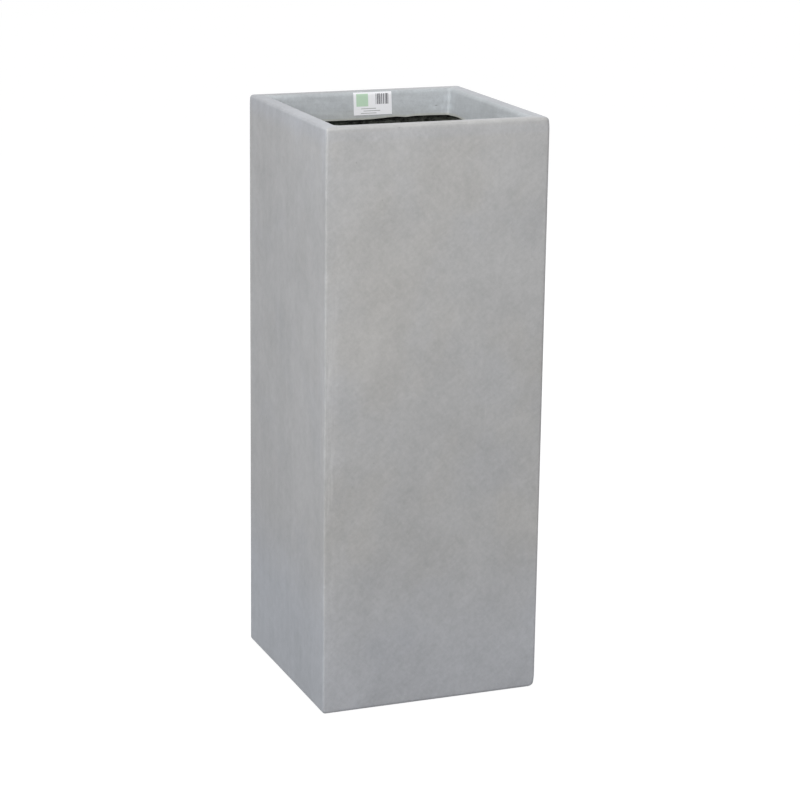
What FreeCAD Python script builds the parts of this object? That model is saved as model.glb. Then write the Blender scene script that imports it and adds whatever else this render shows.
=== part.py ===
import FreeCAD, Part
import math
import os
import Sketcher

# A tall square planter, laid up by hand in a mould. +Z is up, the origin is the centre of
# the footprint on the ground, and the side at -Y is called the front. Millimetres.

SIZES = {
    # the whole planter
    "plan_width": 315,           # outside, along X
    "plan_depth": 315,           # outside, along Y
    "total_height": 800,
    "arris_radius": 5,           # rounding of every outer edge and corner
    # the stone-filled face coat
    "coat_thickness": 4,         # walls, rim and collar
    "base_thickness": 5,
    "foot_recess": 6,            # the base stands this far above the ground
    "foot_rim_width": 24,        # the rim round that recess, on which the planter stands
    "foot_edge_radius": 3,
    # the rim and the collar that is turned down into the mouth
    "rim_face_height": 10,       # outer face of the rim, above its joint with the walls
    "rim_width": 22.5,           # outer face to the top of the mouth
    "mouth_edge_radius": 6,      # soft inner edge of the rim
    "mouth_corner_radius": 3.5,
    "collar_depth": 38,          # rim top to the trimmed lower edge
    "collar_lean": 4.2,          # how far that lower edge stands in from the rim's edge
    "trim_wander": 1.8,          # how far the hand-trimmed edge strays up and down
    "trim_slow_wave": 0.031,     # radians per millimetre of its longer wave
    "trim_quick_wave": 0.083,    # and of its shorter one
    # the black glass laminate
    "mat_thickness": 3,          # wall mats and floor mat
    "tape_thickness": 2,         # corner tapes, floor turn-up and rim joint
    "tape_leg": 45,
    "tape_inner_radius": 6,
    "floor_turn_up": 40,         # height of the floor mat's edges against the walls
    "rim_mat_drop": 60,          # rim top to the lower edge of the rim joint mat
    "rim_mat_setback": 6,        # that mat stops this far above the collar's edge
    # the drain and its rubber plug
    "drain_bore": 26,            # diameter
    "plug_clearance": 0.25,      # on the radius
    "plug_taper": 1.5,           # how much slimmer the stem's tip is, on the radius
    "plug_stem_reach": 3,        # the stem stands out this far below the base
    "plug_head_radius": 20,
    "plug_head_height": 4,
    "plug_neck_radius": 5,
    "plug_grip_radius": 8,
    "plug_grip_height": 16,      # top of the grip above the floor
    "plug_grip_band": 2,         # height of the grip between its two rounded edges
    "plug_edge_radius": 1.2,
    # the paper label on the back of the mouth
    "label_width": 57,
    "label_height": 32,
    "label_thickness": 0.3,
    "label_curl": 4.6,           # how much of its height curls over the rim's soft edge
    "label_offset": 17,          # its centre, to the right of the planter's
}

# Places that several pieces share, as formulas on the sizes above.
WALL_TOP = "(sizes.total_height - sizes.rim_face_height)"
BASE_TOP = "(sizes.foot_recess + sizes.base_thickness)"
FLOOR_TOP = "(%s + sizes.mat_thickness)" % BASE_TOP
TURN_UP_TOP = "(%s + sizes.floor_turn_up)" % FLOOR_TOP
RIM_SOFFIT = "(sizes.total_height - sizes.coat_thickness)"
RIM_MAT_FOOT = "(sizes.total_height - sizes.rim_mat_drop)"
COAT_INSET = "sizes.coat_thickness"
MAT_INSET = "(sizes.coat_thickness + sizes.mat_thickness)"
TAPE_INSET = "(%s + sizes.tape_thickness)" % MAT_INSET
MARGIN = 5.0                     # how far a cutting shape runs past what it cuts
SPARE = 3.0                      # how far the collar runs past its edge before it is trimmed

doc = FreeCAD.newDocument("tall_planter")
sheet = doc.addObject("Spreadsheet::Sheet", "sizes")
for row, (name, value) in enumerate(SIZES.items(), start=1):
    sheet.set("A%d" % row, name)
    sheet.set("B%d" % row, str(value))
    sheet.setAlias("B%d" % row, name)
doc.recompute()


def size(name):
    """One driving dimension, read back from the sheet."""
    return float(sheet.get(name))


def value_of(formula):
    """The present value of a formula on the sheet's sizes."""
    return float(sheet.evalExpression(formula))


# ---------------------------------------------------------------- drawing helpers

def new_body(label):
    body = doc.addObject("PartDesign::Body", label)
    body.Label = label
    return body


def sketch_on(body, role, name, height="0"):
    """A sketch on one of the body's own origin planes, moved off it by a formula."""
    sketch = body.newObject("Sketcher::SketchObject", name)
    plane = next(f for f in body.Origin.OriginFeatures if f.Role == role)
    sketch.AttachmentSupport = [(plane, "")]
    sketch.MapMode = "FlatFace"
    sketch.setExpression("AttachmentOffset.Base.z", height)
    return sketch


def bind(sketch, constraint, name, formula):
    """Add a sized constraint and tie its value to a formula."""
    index = sketch.addConstraint(constraint)
    sketch.renameConstraint(index, name)
    sketch.setExpression("Constraints." + name, formula)


def draw_rectangle(sketch, width, depth):
    """A rectangle centred on the sketch's origin; width and depth are formulas."""
    x = value_of(width) / 2
    y = value_of(depth) / 2
    corners = [(-x, -y), (x, -y), (x, y), (-x, y)]
    for i in range(4):
        start = FreeCAD.Vector(*corners[i], 0)
        end = FreeCAD.Vector(*corners[(i + 1) % 4], 0)
        sketch.addGeometry(Part.LineSegment(start, end))
    for i in range(4):
        sketch.addConstraint(Sketcher.Constraint("Coincident", i, 2, (i + 1) % 4, 1))
        sketch.addConstraint(Sketcher.Constraint("Vertical" if i % 2 else "Horizontal", i))
    sketch.addConstraint(Sketcher.Constraint("Symmetric", 0, 1, 2, 1, -1, 1))
    bind(sketch, Sketcher.Constraint("DistanceX", 0, 1, 0, 2, 2 * x), "width", width)
    bind(sketch, Sketcher.Constraint("DistanceY", 1, 1, 1, 2, 2 * y), "depth", depth)


def draw_rounded_rectangle(sketch, width, depth, radius):
    """The same with round corners: lines 0 to 3, arcs 4 to 7 after each line's end."""
    x = value_of(width) / 2
    y = value_of(depth) / 2
    r = value_of(radius)
    centres = [(x - r, -(y - r)), (x - r, y - r), (-(x - r), y - r), (-(x - r), -(y - r))]
    ends = [((-(x - r), -y), (x - r, -y)), ((x, -(y - r)), (x, y - r)),
            ((x - r, y), (-(x - r), y)), ((-x, y - r), (-x, -(y - r)))]
    for start, end in ends:
        line = Part.LineSegment(FreeCAD.Vector(*start, 0), FreeCAD.Vector(*end, 0))
        sketch.addGeometry(line)
    for i, centre in enumerate(centres):
        circle = Part.Circle(FreeCAD.Vector(*centre, 0), FreeCAD.Vector(0, 0, 1), r)
        begin = (i - 1) * math.pi / 2
        sketch.addGeometry(Part.ArcOfCircle(circle, begin, begin + math.pi / 2))
    for i in range(4):
        sketch.addConstraint(Sketcher.Constraint("Tangent", i, 2, 4 + i, 1))
        sketch.addConstraint(Sketcher.Constraint("Tangent", 4 + i, 2, (i + 1) % 4, 1))
        sketch.addConstraint(Sketcher.Constraint("Vertical" if i % 2 else "Horizontal", i))
    for i in range(3):
        sketch.addConstraint(Sketcher.Constraint("Equal", 4 + i, 5 + i))
    sketch.addConstraint(Sketcher.Constraint("Symmetric", 4, 3, 6, 3, -1, 1))
    bind(sketch, Sketcher.Constraint("Radius", 4, r), "corner", radius)
    bind(sketch, Sketcher.Constraint("DistanceX", 0, 1, 0, 2, 2 * (x - r)), "width",
         "%s - 2 * %s" % (width, radius))
    bind(sketch, Sketcher.Constraint("DistanceY", 1, 1, 1, 2, 2 * (y - r)), "depth",
         "%s - 2 * %s" % (depth, radius))


def draw_outline(sketch, points):
    """A closed outline of straight lines; each point is a pair of formulas."""
    places = [FreeCAD.Vector(value_of(x), value_of(y), 0) for x, y in points]
    count = len(points)
    for i in range(count):
        sketch.addGeometry(Part.LineSegment(places[i], places[(i + 1) % count]))
    for i in range(count):
        sketch.addConstraint(Sketcher.Constraint("Coincident", i, 2, (i + 1) % count, 1))
    for i, (x, y) in enumerate(points):
        if x == "0":
            sketch.addConstraint(Sketcher.Constraint("PointOnObject", i, 1, -2))
        else:
            across = Sketcher.Constraint("DistanceX", -1, 1, i, 1, places[i].x)
            bind(sketch, across, "x%d" % i, x)
        if y == "0":
            sketch.addConstraint(Sketcher.Constraint("PointOnObject", i, 1, -1))
        else:
            up = Sketcher.Constraint("DistanceY", -1, 1, i, 1, places[i].y)
            bind(sketch, up, "y%d" % i, y)


def draw_circle(sketch, radius):
    r = value_of(radius)
    sketch.addGeometry(Part.Circle(FreeCAD.Vector(), FreeCAD.Vector(0, 0, 1), r))
    sketch.addConstraint(Sketcher.Constraint("Coincident", 0, 3, -1, 1))
    bind(sketch, Sketcher.Constraint("Radius", 0, r), "radius", radius)


# ---------------------------------------------------------------- feature helpers

def pad(body, sketch, length):
    feature = body.newObject("PartDesign::Pad", sketch.Name + "_pad")
    feature.Profile = sketch
    feature.setExpression("Length", length)
    doc.recompute()
    return feature


def pocket(body, sketch, depth, upwards=True):
    """Cut the sketch out of the body, to the given depth along or against its normal."""
    before = body.Shape.Volume
    feature = body.newObject("PartDesign::Pocket", sketch.Name + "_pocket")
    feature.Profile = sketch
    feature.Reversed = upwards
    feature.setExpression("Length", depth)
    doc.recompute()
    if not body.Shape.Volume < before - 1.0:
        raise RuntimeError(feature.Name + " cut nothing")
    return feature


def loft(body, kind, lower, upper):
    """A straight-sided loft between two sketches, added or taken away."""
    feature = body.newObject("PartDesign::%sLoft" % kind, lower.Name + "_loft")
    feature.Profile = lower
    feature.Sections = [upper]
    feature.Ruled = True
    doc.recompute()
    return feature


def fillet(body, name, radius, wanted):
    """Round the edges of the body's last feature for which wanted(edge) is true."""
    base = body.Tip
    names = ["Edge%d" % (i + 1) for i, edge in enumerate(base.Shape.Edges) if wanted(edge)]
    feature = body.newObject("PartDesign::Fillet", name)
    feature.Base = (base, names)
    feature.setExpression("Radius", radius)
    doc.recompute()
    return feature


SAME = 0.01                      # lengths closer than this count as the same
NEAR = 0.5                       # slack when edges are picked by how far in they lie


def level(edge, height):
    """Whether the whole edge lies at one height."""
    box = edge.BoundBox
    return abs(box.ZMin - height) < SAME and abs(box.ZMax - height) < SAME


def upright(edge):
    box = edge.BoundBox
    return box.ZLength > SAME and box.DiagonalLength - box.ZLength < SAME


def inside(edge, inset):
    """Whether the edge lies further in than the given inset from the outer faces."""
    box = edge.BoundBox
    return (max(-box.XMin, box.XMax) < size("plan_width") / 2 - inset
            and max(-box.YMin, box.YMax) < size("plan_depth") / 2 - inset)


def shrunk(inset):
    """Width and depth of the plan, drawn in all round by an inset formula."""
    return "(sizes.plan_width - 2 * %s)" % inset, "(sizes.plan_depth - 2 * %s)" % inset


# ---------------------------------------------------------------- outer shell

def make_outer_shell():
    """Face coat of the walls and base: a block with round arrises, hollowed from above."""
    body = new_body("outer_shell")
    block = sketch_on(body, "XY_Plane", "shell_plan")
    draw_rectangle(block, *shrunk("0"))
    pad(body, block, WALL_TOP)
    fillet(body, "shell_arrises", "sizes.arris_radius",
           lambda edge: upright(edge) or level(edge, 0))
    hollow = sketch_on(body, "XY_Plane", "shell_hollow", BASE_TOP)
    draw_rounded_rectangle(hollow, *shrunk(COAT_INSET), "(sizes.arris_radius - sizes.coat_thickness)")
    pocket(body, hollow, WALL_TOP)
    recess = sketch_on(body, "XY_Plane", "foot_recess_plan")
    draw_rounded_rectangle(recess, *shrunk("sizes.foot_rim_width"), "sizes.arris_radius")
    pocket(body, recess, "sizes.foot_recess")
    fillet(body, "foot_rim_edge", "sizes.foot_edge_radius",
           lambda edge: level(edge, 0) and inside(edge, size("foot_rim_width") - NEAR))
    drain = sketch_on(body, "XY_Plane", "shell_drain")
    draw_circle(drain, "(sizes.drain_bore / 2)")
    pocket(body, drain, BASE_TOP)
    return body


# ---------------------------------------------------------------- rim and collar

def mouth_size(depth, extra="0"):
    """Width and depth of the leaning mouth at a depth below the rim top, plus a skin."""
    lean = "sizes.collar_lean * (%s) / sizes.collar_depth" % depth
    return shrunk("(sizes.rim_width + %s - %s)" % (lean, extra))


def mouth_sketch(body, name, depth, extra="0"):
    sketch = sketch_on(body, "XY_Plane", name, "sizes.total_height - (%s)" % depth)
    draw_rounded_rectangle(sketch, *mouth_size(depth, extra),
                           "(sizes.mouth_corner_radius + %s)" % extra)
    return sketch


# where the longer and the shorter wave of each side's trimmed edge start, in radians
TRIM_PHASES = {"front": (0.4, 0.9), "back": (5.37, 3.7), "left": (1.7, 3.9), "right": (4.75, 5.84)}
SLOW_SHARE = 0.72                # share of the longer wave in the stray
TRIM_SPANS = 14                  # points that the wavy edge passes through, less one


def trim_height(along, phases):
    """How far the hand-trimmed edge strays from its nominal height: two slow waves."""
    slow = math.sin(along * size("trim_slow_wave") + phases[0])
    quick = math.sin(along * size("trim_quick_wave") + phases[1])
    return size("trim_wander") * (SLOW_SHARE * slow + (1 - SLOW_SHARE) * quick)


def trim_collar(body, side, phases):
    """Cut the collar's lower edge to a wavy line on one side of the mouth."""
    # the plan's sizes along the edge and across it, the plane, whether its normal points out
    along, across, role, outwards = {
        "front": ("plan_width", "plan_depth", "XZ_Plane", True),
        "back": ("plan_width", "plan_depth", "XZ_Plane", False),
        "right": ("plan_depth", "plan_width", "YZ_Plane", True),
        "left": ("plan_depth", "plan_width", "YZ_Plane", False),
    }[side]
    start = "(sizes.%s / 2 - sizes.rim_width - sizes.collar_lean - %s)" % (across, MARGIN)
    sketch = sketch_on(body, role, "trim_" + side, start if outwards else "-" + start)
    sketch.setExpression("AttachmentOffset.Base.y", "sizes.total_height - sizes.collar_depth")
    reach = size(along) / 2 - size("rim_width")
    places = [reach * (2 * i / TRIM_SPANS - 1) for i in range(TRIM_SPANS + 1)]
    # the waves fade out towards the corners, where two sides meet
    calm = [min(1.0, 4 * (1 - abs(place) / reach)) for place in places]
    points = [FreeCAD.Vector(place, share * trim_height(place, phases), 0)
              for place, share in zip(places, calm)]
    edge = Part.BSplineCurve()
    edge.interpolate(points)
    sketch.addGeometry(edge)
    below = 2 * MARGIN
    right_foot = FreeCAD.Vector(reach, -below, 0)
    left_foot = FreeCAD.Vector(-reach, -below, 0)
    corners = [points[-1], right_foot, left_foot, points[0]]
    for first, second in zip(corners, corners[1:]):
        sketch.addGeometry(Part.LineSegment(first, second))
    for rule in (("Block", 0), ("Coincident", 0, 2, 1, 1), ("Coincident", 1, 2, 2, 1),
                 ("Coincident", 2, 2, 3, 1), ("Coincident", 3, 2, 0, 1),
                 ("Vertical", 1), ("Vertical", 3), ("Horizontal", 2),
                 ("DistanceY", 1, 2, 1, 1, below)):
        sketch.addConstraint(Sketcher.Constraint(*rule))
    pocket(body, sketch, "(sizes.collar_lean + sizes.coat_thickness + %s)" % (2 * MARGIN), outwards)


def make_rim_collar():
    """The rim's cap, hollow below, with the drafted collar hanging round the mouth."""
    body = new_body("rim_collar")
    cap = sketch_on(body, "XY_Plane", "rim_plan", WALL_TOP)
    draw_rectangle(cap, *shrunk("0"))
    pad(body, cap, "sizes.rim_face_height")
    fillet(body, "rim_arrises", "sizes.arris_radius",
           lambda edge: upright(edge) or level(edge, size("total_height")))
    channel = sketch_on(body, "XY_Plane", "rim_channel", WALL_TOP)
    draw_rounded_rectangle(channel, *shrunk(COAT_INSET), "(sizes.arris_radius - sizes.coat_thickness)")
    pocket(body, channel, "(sizes.rim_face_height - sizes.coat_thickness)")
    skin = "sizes.coat_thickness"
    outer_low = mouth_sketch(body, "collar_back_low", "(sizes.collar_depth + %s)" % SPARE, skin)
    outer_top = mouth_sketch(body, "collar_back_top", "(sizes.coat_thickness / 2)", skin)
    loft(body, "Additive", outer_low, outer_top)
    mouth_low = mouth_sketch(body, "mouth_low", "(sizes.collar_depth + %s)" % (SPARE + MARGIN))
    mouth_top = mouth_sketch(body, "mouth_top", "-%s" % MARGIN)
    loft(body, "Subtractive", mouth_low, mouth_top)
    fillet(body, "mouth_edge", "sizes.mouth_edge_radius",
           lambda edge: level(edge, size("total_height")) and inside(edge, size("rim_width") - NEAR))
    for side, phases in TRIM_PHASES.items():
        trim_collar(body, side, phases)
    return body


# ---------------------------------------------------------------- glass mats

def inner_space(name, inset, radius, bottom, top):
    """A plain prism filling the planter within an inset, used to shape the mats."""
    body = doc.addObject("PartDesign::Body", name)
    plan = sketch_on(body, "XY_Plane", name + "_plan", bottom)
    draw_rounded_rectangle(plan, *shrunk(inset), radius)
    pad(body, plan, "(%s - %s)" % (top, bottom))
    return body


def place_box(name, x, y, z, length, width, height):
    box = doc.addObject("Part::Box", name)
    box.setExpression("Length", length)
    box.setExpression("Width", width)
    box.setExpression("Height", height)
    box.setExpression("Placement.Base.x", x)
    box.setExpression("Placement.Base.y", y)
    box.setExpression("Placement.Base.z", z)
    return box


def make_wall_mats():
    """Four mats on the walls: front and back reach the corners, the sides fit between."""
    mats = []
    half_x = "sizes.plan_width / 2"
    half_y = "sizes.plan_depth / 2"
    height = "(%s - %s)" % (RIM_SOFFIT, BASE_TOP)
    thick = "sizes.mat_thickness"
    full_width, full_depth = shrunk(COAT_INSET)
    side_depth = shrunk(MAT_INSET)[1]
    boxes = {
        "front": ("-%s / 2" % full_width, "-(%s - %s)" % (half_y, COAT_INSET), full_width, thick),
        "back": ("-%s / 2" % full_width, "%s - %s" % (half_y, MAT_INSET), full_width, thick),
        "left": ("-(%s - %s)" % (half_x, COAT_INSET), "-%s / 2" % side_depth, thick, side_depth),
        "right": ("%s - %s" % (half_x, MAT_INSET), "-%s / 2" % side_depth, thick, side_depth),
    }
    for side, (x, y, length, width) in boxes.items():
        box = place_box(side + "_mat_box", x, y, BASE_TOP, length, width, height)
        space = inner_space(side + "_mat_space", COAT_INSET,
                            "(sizes.arris_radius - sizes.coat_thickness)", BASE_TOP, RIM_SOFFIT)
        mat = doc.addObject("Part::Common", side + "_glass_mat")
        mat.Label = side + "_glass_mat"
        mat.Base = box
        mat.Tool = space
        mats.append(mat)
    doc.recompute()
    return mats


def make_floor_mat():
    """The floor mat, turned up against the wall mats, with the drain hole through it."""
    body = new_body("floor_glass_mat")
    plan = sketch_on(body, "XY_Plane", "floor_plan", BASE_TOP)
    draw_rectangle(plan, *shrunk(MAT_INSET))
    pad(body, plan, "(%s - %s)" % (TURN_UP_TOP, BASE_TOP))
    tray = sketch_on(body, "XY_Plane", "floor_tray", FLOOR_TOP)
    draw_rounded_rectangle(tray, *shrunk(TAPE_INSET), "sizes.tape_inner_radius")
    pocket(body, tray, "sizes.floor_turn_up")
    fillet(body, "floor_bend", "sizes.tape_inner_radius / 2",
           lambda edge: level(edge, value_of(FLOOR_TOP)))
    drain = sketch_on(body, "XY_Plane", "floor_drain", BASE_TOP)
    draw_circle(drain, "(sizes.drain_bore / 2)")
    pocket(body, drain, "sizes.mat_thickness")
    return body


def make_corner_tapes():
    """Four angles of glass tape over the inside corners, between floor and rim mats."""
    corners = {"front_left": (-1, -1), "front_right": (1, -1),
               "back_left": (-1, 1), "back_right": (1, 1)}
    tapes = []
    for corner, (sx, sy) in corners.items():
        label = "corner_tape_" + corner
        body = new_body(label)
        plan = sketch_on(body, "XY_Plane", label + "_plan", TURN_UP_TOP)
        x_out = "%d * (sizes.plan_width / 2 - %s)" % (sx, MAT_INSET)
        y_out = "%d * (sizes.plan_depth / 2 - %s)" % (sy, MAT_INSET)
        x_in = "%s - %d * sizes.tape_thickness" % (x_out, sx)
        y_in = "%s - %d * sizes.tape_thickness" % (y_out, sy)
        x_end = "%s - %d * sizes.tape_leg" % (x_out, sx)
        y_end = "%s - %d * sizes.tape_leg" % (y_out, sy)
        draw_outline(plan, [(x_out, y_out), (x_end, y_out), (x_end, y_in),
                            (x_in, y_in), (x_in, y_end), (x_out, y_end)])
        pad(body, plan, "(%s - %s)" % (RIM_MAT_FOOT, TURN_UP_TOP))
        hollow_x = sx * (size("plan_width") / 2 - value_of(TAPE_INSET))
        hollow_y = sy * (size("plan_depth") / 2 - value_of(TAPE_INSET))
        fillet(body, label + "_bend", "sizes.tape_inner_radius",
               lambda edge: upright(edge) and abs(edge.BoundBox.XMin - hollow_x) < SAME
               and abs(edge.BoundBox.YMin - hollow_y) < SAME)
        tapes.append(body)
    return tapes


def make_rim_joint_mat():
    """The mat behind the rim: down the wall mats, under the rim, down the collar's back."""
    body = new_body("rim_joint_mat")
    plan = sketch_on(body, "XY_Plane", "rim_mat_plan", RIM_MAT_FOOT)
    draw_rectangle(plan, *shrunk(MAT_INSET))
    pad(body, plan, "(%s - %s)" % (RIM_SOFFIT, RIM_MAT_FOOT))
    hollow = sketch_on(body, "XY_Plane", "rim_mat_hollow", RIM_MAT_FOOT)
    draw_rounded_rectangle(hollow, *shrunk(TAPE_INSET), "sizes.tape_inner_radius")
    pocket(body, hollow, "(%s - %s - sizes.tape_thickness)" % (RIM_SOFFIT, RIM_MAT_FOOT))
    both = "(sizes.coat_thickness + sizes.tape_thickness)"
    foot = "(sizes.collar_depth - sizes.rim_mat_setback)"
    back_low = mouth_sketch(body, "rim_mat_low", foot, both)
    upper = "(sizes.coat_thickness + sizes.tape_thickness / 2)"
    back_top = mouth_sketch(body, "rim_mat_top", upper, both)
    loft(body, "Additive", back_low, back_top)
    coat = "sizes.coat_thickness"
    below = "(sizes.collar_depth + %s)" % MARGIN
    cut_low = mouth_sketch(body, "rim_mat_cut_low", below, coat)
    cut_top = mouth_sketch(body, "rim_mat_cut_top", "-%s" % MARGIN, coat)
    loft(body, "Subtractive", cut_low, cut_top)
    return body


# ---------------------------------------------------------------- drain plug

def make_drain_plug():
    """A turned rubber plug: a tapered stem in the drain, a head on the floor, a grip."""
    body = new_body("drain_plug")
    profile = sketch_on(body, "XZ_Plane", "plug_profile")
    stem = "(sizes.drain_bore / 2 - sizes.plug_clearance)"
    tip = "(%s - sizes.plug_taper)" % stem
    foot = "(sizes.foot_recess - sizes.plug_stem_reach)"
    head_top = "(%s + sizes.plug_head_height)" % FLOOR_TOP
    grip_top = "(%s + sizes.plug_grip_height)" % FLOOR_TOP
    grip_foot = "(%s - 2 * sizes.plug_edge_radius - sizes.plug_grip_band)" % grip_top
    draw_outline(profile, [
        ("0", foot), (tip, foot), (stem, "sizes.foot_recess"), (stem, FLOOR_TOP),
        ("sizes.plug_head_radius", FLOOR_TOP), ("sizes.plug_head_radius", head_top),
        ("sizes.plug_neck_radius", head_top), ("sizes.plug_neck_radius", grip_foot),
        ("sizes.plug_grip_radius", grip_foot), ("sizes.plug_grip_radius", grip_top),
        ("0", grip_top)])
    turned = body.newObject("PartDesign::Revolution", "plug_turned")
    turned.Profile = profile
    turned.ReferenceAxis = (profile, ["V_Axis"])
    turned.Angle = 360
    doc.recompute()
    heights = [value_of(head_top), value_of(grip_foot), value_of(grip_top)]
    fillet(body, "plug_edges", "sizes.plug_edge_radius",
           lambda edge: any(level(edge, h) for h in heights)
           and edge.BoundBox.XLength > 2 * size("plug_neck_radius") - SAME)
    return body


# ---------------------------------------------------------------- paper label

def make_paper_label():
    """A paper strip on the back of the mouth, curling over the rim's soft inner edge."""
    body = new_body("paper_label")
    start = "sizes.label_offset - sizes.label_width / 2"
    profile = sketch_on(body, "YZ_Plane", "label_profile", start)
    lean = "(sizes.collar_lean / sizes.collar_depth)"
    far_radius = "(sizes.mouth_edge_radius + sizes.label_thickness)"
    flat = "(sizes.label_height - sizes.label_curl)"
    centre_y = ("sizes.plan_depth / 2 - sizes.rim_width + sizes.mouth_edge_radius"
                " * (sqrt(1 + %s ^ 2) - %s)" % (lean, lean))
    centre_z = "sizes.total_height - sizes.mouth_edge_radius"
    tilt = math.atan(value_of(lean))
    curl = size("label_curl") / size("mouth_edge_radius")
    centre = FreeCAD.Vector(value_of(centre_y), value_of(centre_z), 0)
    down = FreeCAD.Vector(-math.sin(tilt), -math.cos(tilt), 0) * value_of(flat)

    def spot(radius, turned):
        """A point round the rim's soft edge, turned up from where its rounding starts."""
        angle = math.pi - tilt - turned
        return centre + FreeCAD.Vector(math.cos(angle), math.sin(angle), 0) * radius

    near = size("mouth_edge_radius")
    far = value_of(far_radius)
    profile.addGeometry(Part.LineSegment(spot(near, 0) + down, spot(near, 0)))
    profile.addGeometry(Part.Arc(spot(near, 0), spot(near, curl / 2), spot(near, curl)))
    profile.addGeometry(Part.LineSegment(spot(near, curl), spot(far, curl)))
    profile.addGeometry(Part.Arc(spot(far, curl), spot(far, curl / 2), spot(far, 0)))
    profile.addGeometry(Part.LineSegment(spot(far, 0), spot(far, 0) + down))
    profile.addGeometry(Part.LineSegment(spot(far, 0) + down, spot(near, 0) + down))
    for rule in (("Tangent", 0, 2, 1, 2), ("Coincident", 1, 1, 2, 1), ("Coincident", 2, 2, 3, 1),
                 ("Tangent", 3, 2, 4, 1), ("Coincident", 4, 2, 5, 1), ("Coincident", 5, 2, 0, 1),
                 ("Coincident", 1, 3, 3, 3), ("PointOnObject", 1, 3, 2), ("Perpendicular", 5, 0),
                 ("Parallel", 4, 0)):
        profile.addConstraint(Sketcher.Constraint(*rule))
    bind(profile, Sketcher.Constraint("DistanceX", -1, 1, 1, 3, centre.x), "centre_y", centre_y)
    bind(profile, Sketcher.Constraint("DistanceY", -1, 1, 1, 3, centre.y), "centre_z", centre_z)
    bind(profile, Sketcher.Constraint("Radius", 1, near), "near", "sizes.mouth_edge_radius")
    bind(profile, Sketcher.Constraint("Radius", 3, far), "far", far_radius)
    bind(profile, Sketcher.Constraint("Distance", 0, value_of(flat)), "flat", flat)
    bind(profile, Sketcher.Constraint("Angle", 0, math.pi / 2 - tilt), "lean",
         "90 deg - atan(%s)" % lean)
    curled = "sizes.label_curl / sizes.mouth_edge_radius * 180 deg / pi"
    bind(profile, Sketcher.Constraint("Angle", 2, math.pi - tilt - curl), "curl",
         "180 deg - atan(%s) - %s" % (lean, curled))
    pad(body, profile, "sizes.label_width")
    return body


# ---------------------------------------------------------------- build, check, write

pieces = [make_outer_shell(), make_rim_collar()]
pieces += make_wall_mats()
pieces.append(make_floor_mat())
pieces += make_corner_tapes()
pieces.append(make_rim_joint_mat())
pieces.append(make_drain_plug())
pieces.append(make_paper_label())
doc.recompute()

for item in doc.Objects:
    if "Invalid" in item.State or "Error" in item.State:
        raise RuntimeError("%s did not build: %s" % (item.Name, item.State))

os.makedirs("parts", exist_ok=True)
for piece in pieces:
    shape = piece.Shape
    if shape.isNull() or not shape.isValid() or not shape.Solids:
        raise RuntimeError(piece.Label + " has no valid solid")
    shape.exportStep("parts/%s.step" % piece.Label)
    box = shape.optimalBoundingBox()
    print("%-26s %d solid(s) %9.1f cm3  x %.1f..%.1f  y %.1f..%.1f  z %.1f..%.1f" % (
        piece.Label, len(shape.Solids), shape.Volume / 1000,
        box.XMin, box.XMax, box.YMin, box.YMax, box.ZMin, box.ZMax))
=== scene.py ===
# %% [markdown]
# # A tall square planter in grey stone coat
# The real planter is laid up by hand in a mould. A coat of resin filled with stone powder
# goes in first and becomes the grey outside. Glass mats soaked in black resin back it. The
# rim is a second moulding, turned down into a collar round the mouth. The walls and the rim
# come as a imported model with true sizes. This script gives every piece its finish, and
# rebuilds the hand-made surfaces as denser meshes, because flat faces and even edges are
# what gives a computer model away. All lengths are in metres.

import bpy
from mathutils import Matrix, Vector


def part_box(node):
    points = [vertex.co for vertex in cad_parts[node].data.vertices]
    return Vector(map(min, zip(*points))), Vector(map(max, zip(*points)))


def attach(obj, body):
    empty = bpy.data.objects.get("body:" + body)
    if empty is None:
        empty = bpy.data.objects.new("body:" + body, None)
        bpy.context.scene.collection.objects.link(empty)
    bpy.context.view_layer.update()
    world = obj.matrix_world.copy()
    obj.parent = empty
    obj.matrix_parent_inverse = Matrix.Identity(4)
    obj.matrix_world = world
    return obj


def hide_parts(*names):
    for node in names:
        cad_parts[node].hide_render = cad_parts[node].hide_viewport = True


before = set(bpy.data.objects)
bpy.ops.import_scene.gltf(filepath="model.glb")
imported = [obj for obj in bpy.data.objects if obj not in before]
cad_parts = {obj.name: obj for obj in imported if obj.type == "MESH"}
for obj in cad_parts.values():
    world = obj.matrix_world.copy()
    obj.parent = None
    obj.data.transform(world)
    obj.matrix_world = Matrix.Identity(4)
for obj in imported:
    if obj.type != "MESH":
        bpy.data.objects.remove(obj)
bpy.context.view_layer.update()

# %% [markdown]
# ## Sizes
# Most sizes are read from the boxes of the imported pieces, so the meshes below follow the
# model if it changes. A box can't say how round an edge is or how far the collar leans, so
# those few sizes are written here, close to the model's. The corners are the exception: no
# two were rubbed alike, so each has its own rounding.

# %% Read the sizes
import math
import random

import bmesh
import bpy
import numpy as np
from mathutils import Matrix, Vector, noise

shell_low, shell_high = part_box("outer_shell")
rim_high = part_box("rim_collar")[1]
mat_low, mat_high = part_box("front_glass_mat")
floor_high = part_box("floor_glass_mat")[1]
joint_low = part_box("rim_joint_mat")[0]

HALF_X, HALF_Y = shell_high.x, shell_high.y
HEIGHT = rim_high.z
SEAM = shell_high.z                  # where the rim's moulding meets the walls
COAT = mat_low.y - shell_low.y       # thickness of the stone coat
MAT = mat_high.y - mat_low.y         # thickness of a wall mat
BASE_TOP = mat_low.z
RECESS = 0.006                       # the base stands this far above the ground
FOOT_RIM = 0.024                     # width of the rim that the planter stands on
FOOT_EDGE = 0.003                    # rounding of that rim's inner edge
ARRIS = 0.005                        # rounding of the outer edges
TOP_ARRIS = 0.004                    # that of the rim's, which is rubbed less
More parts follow.
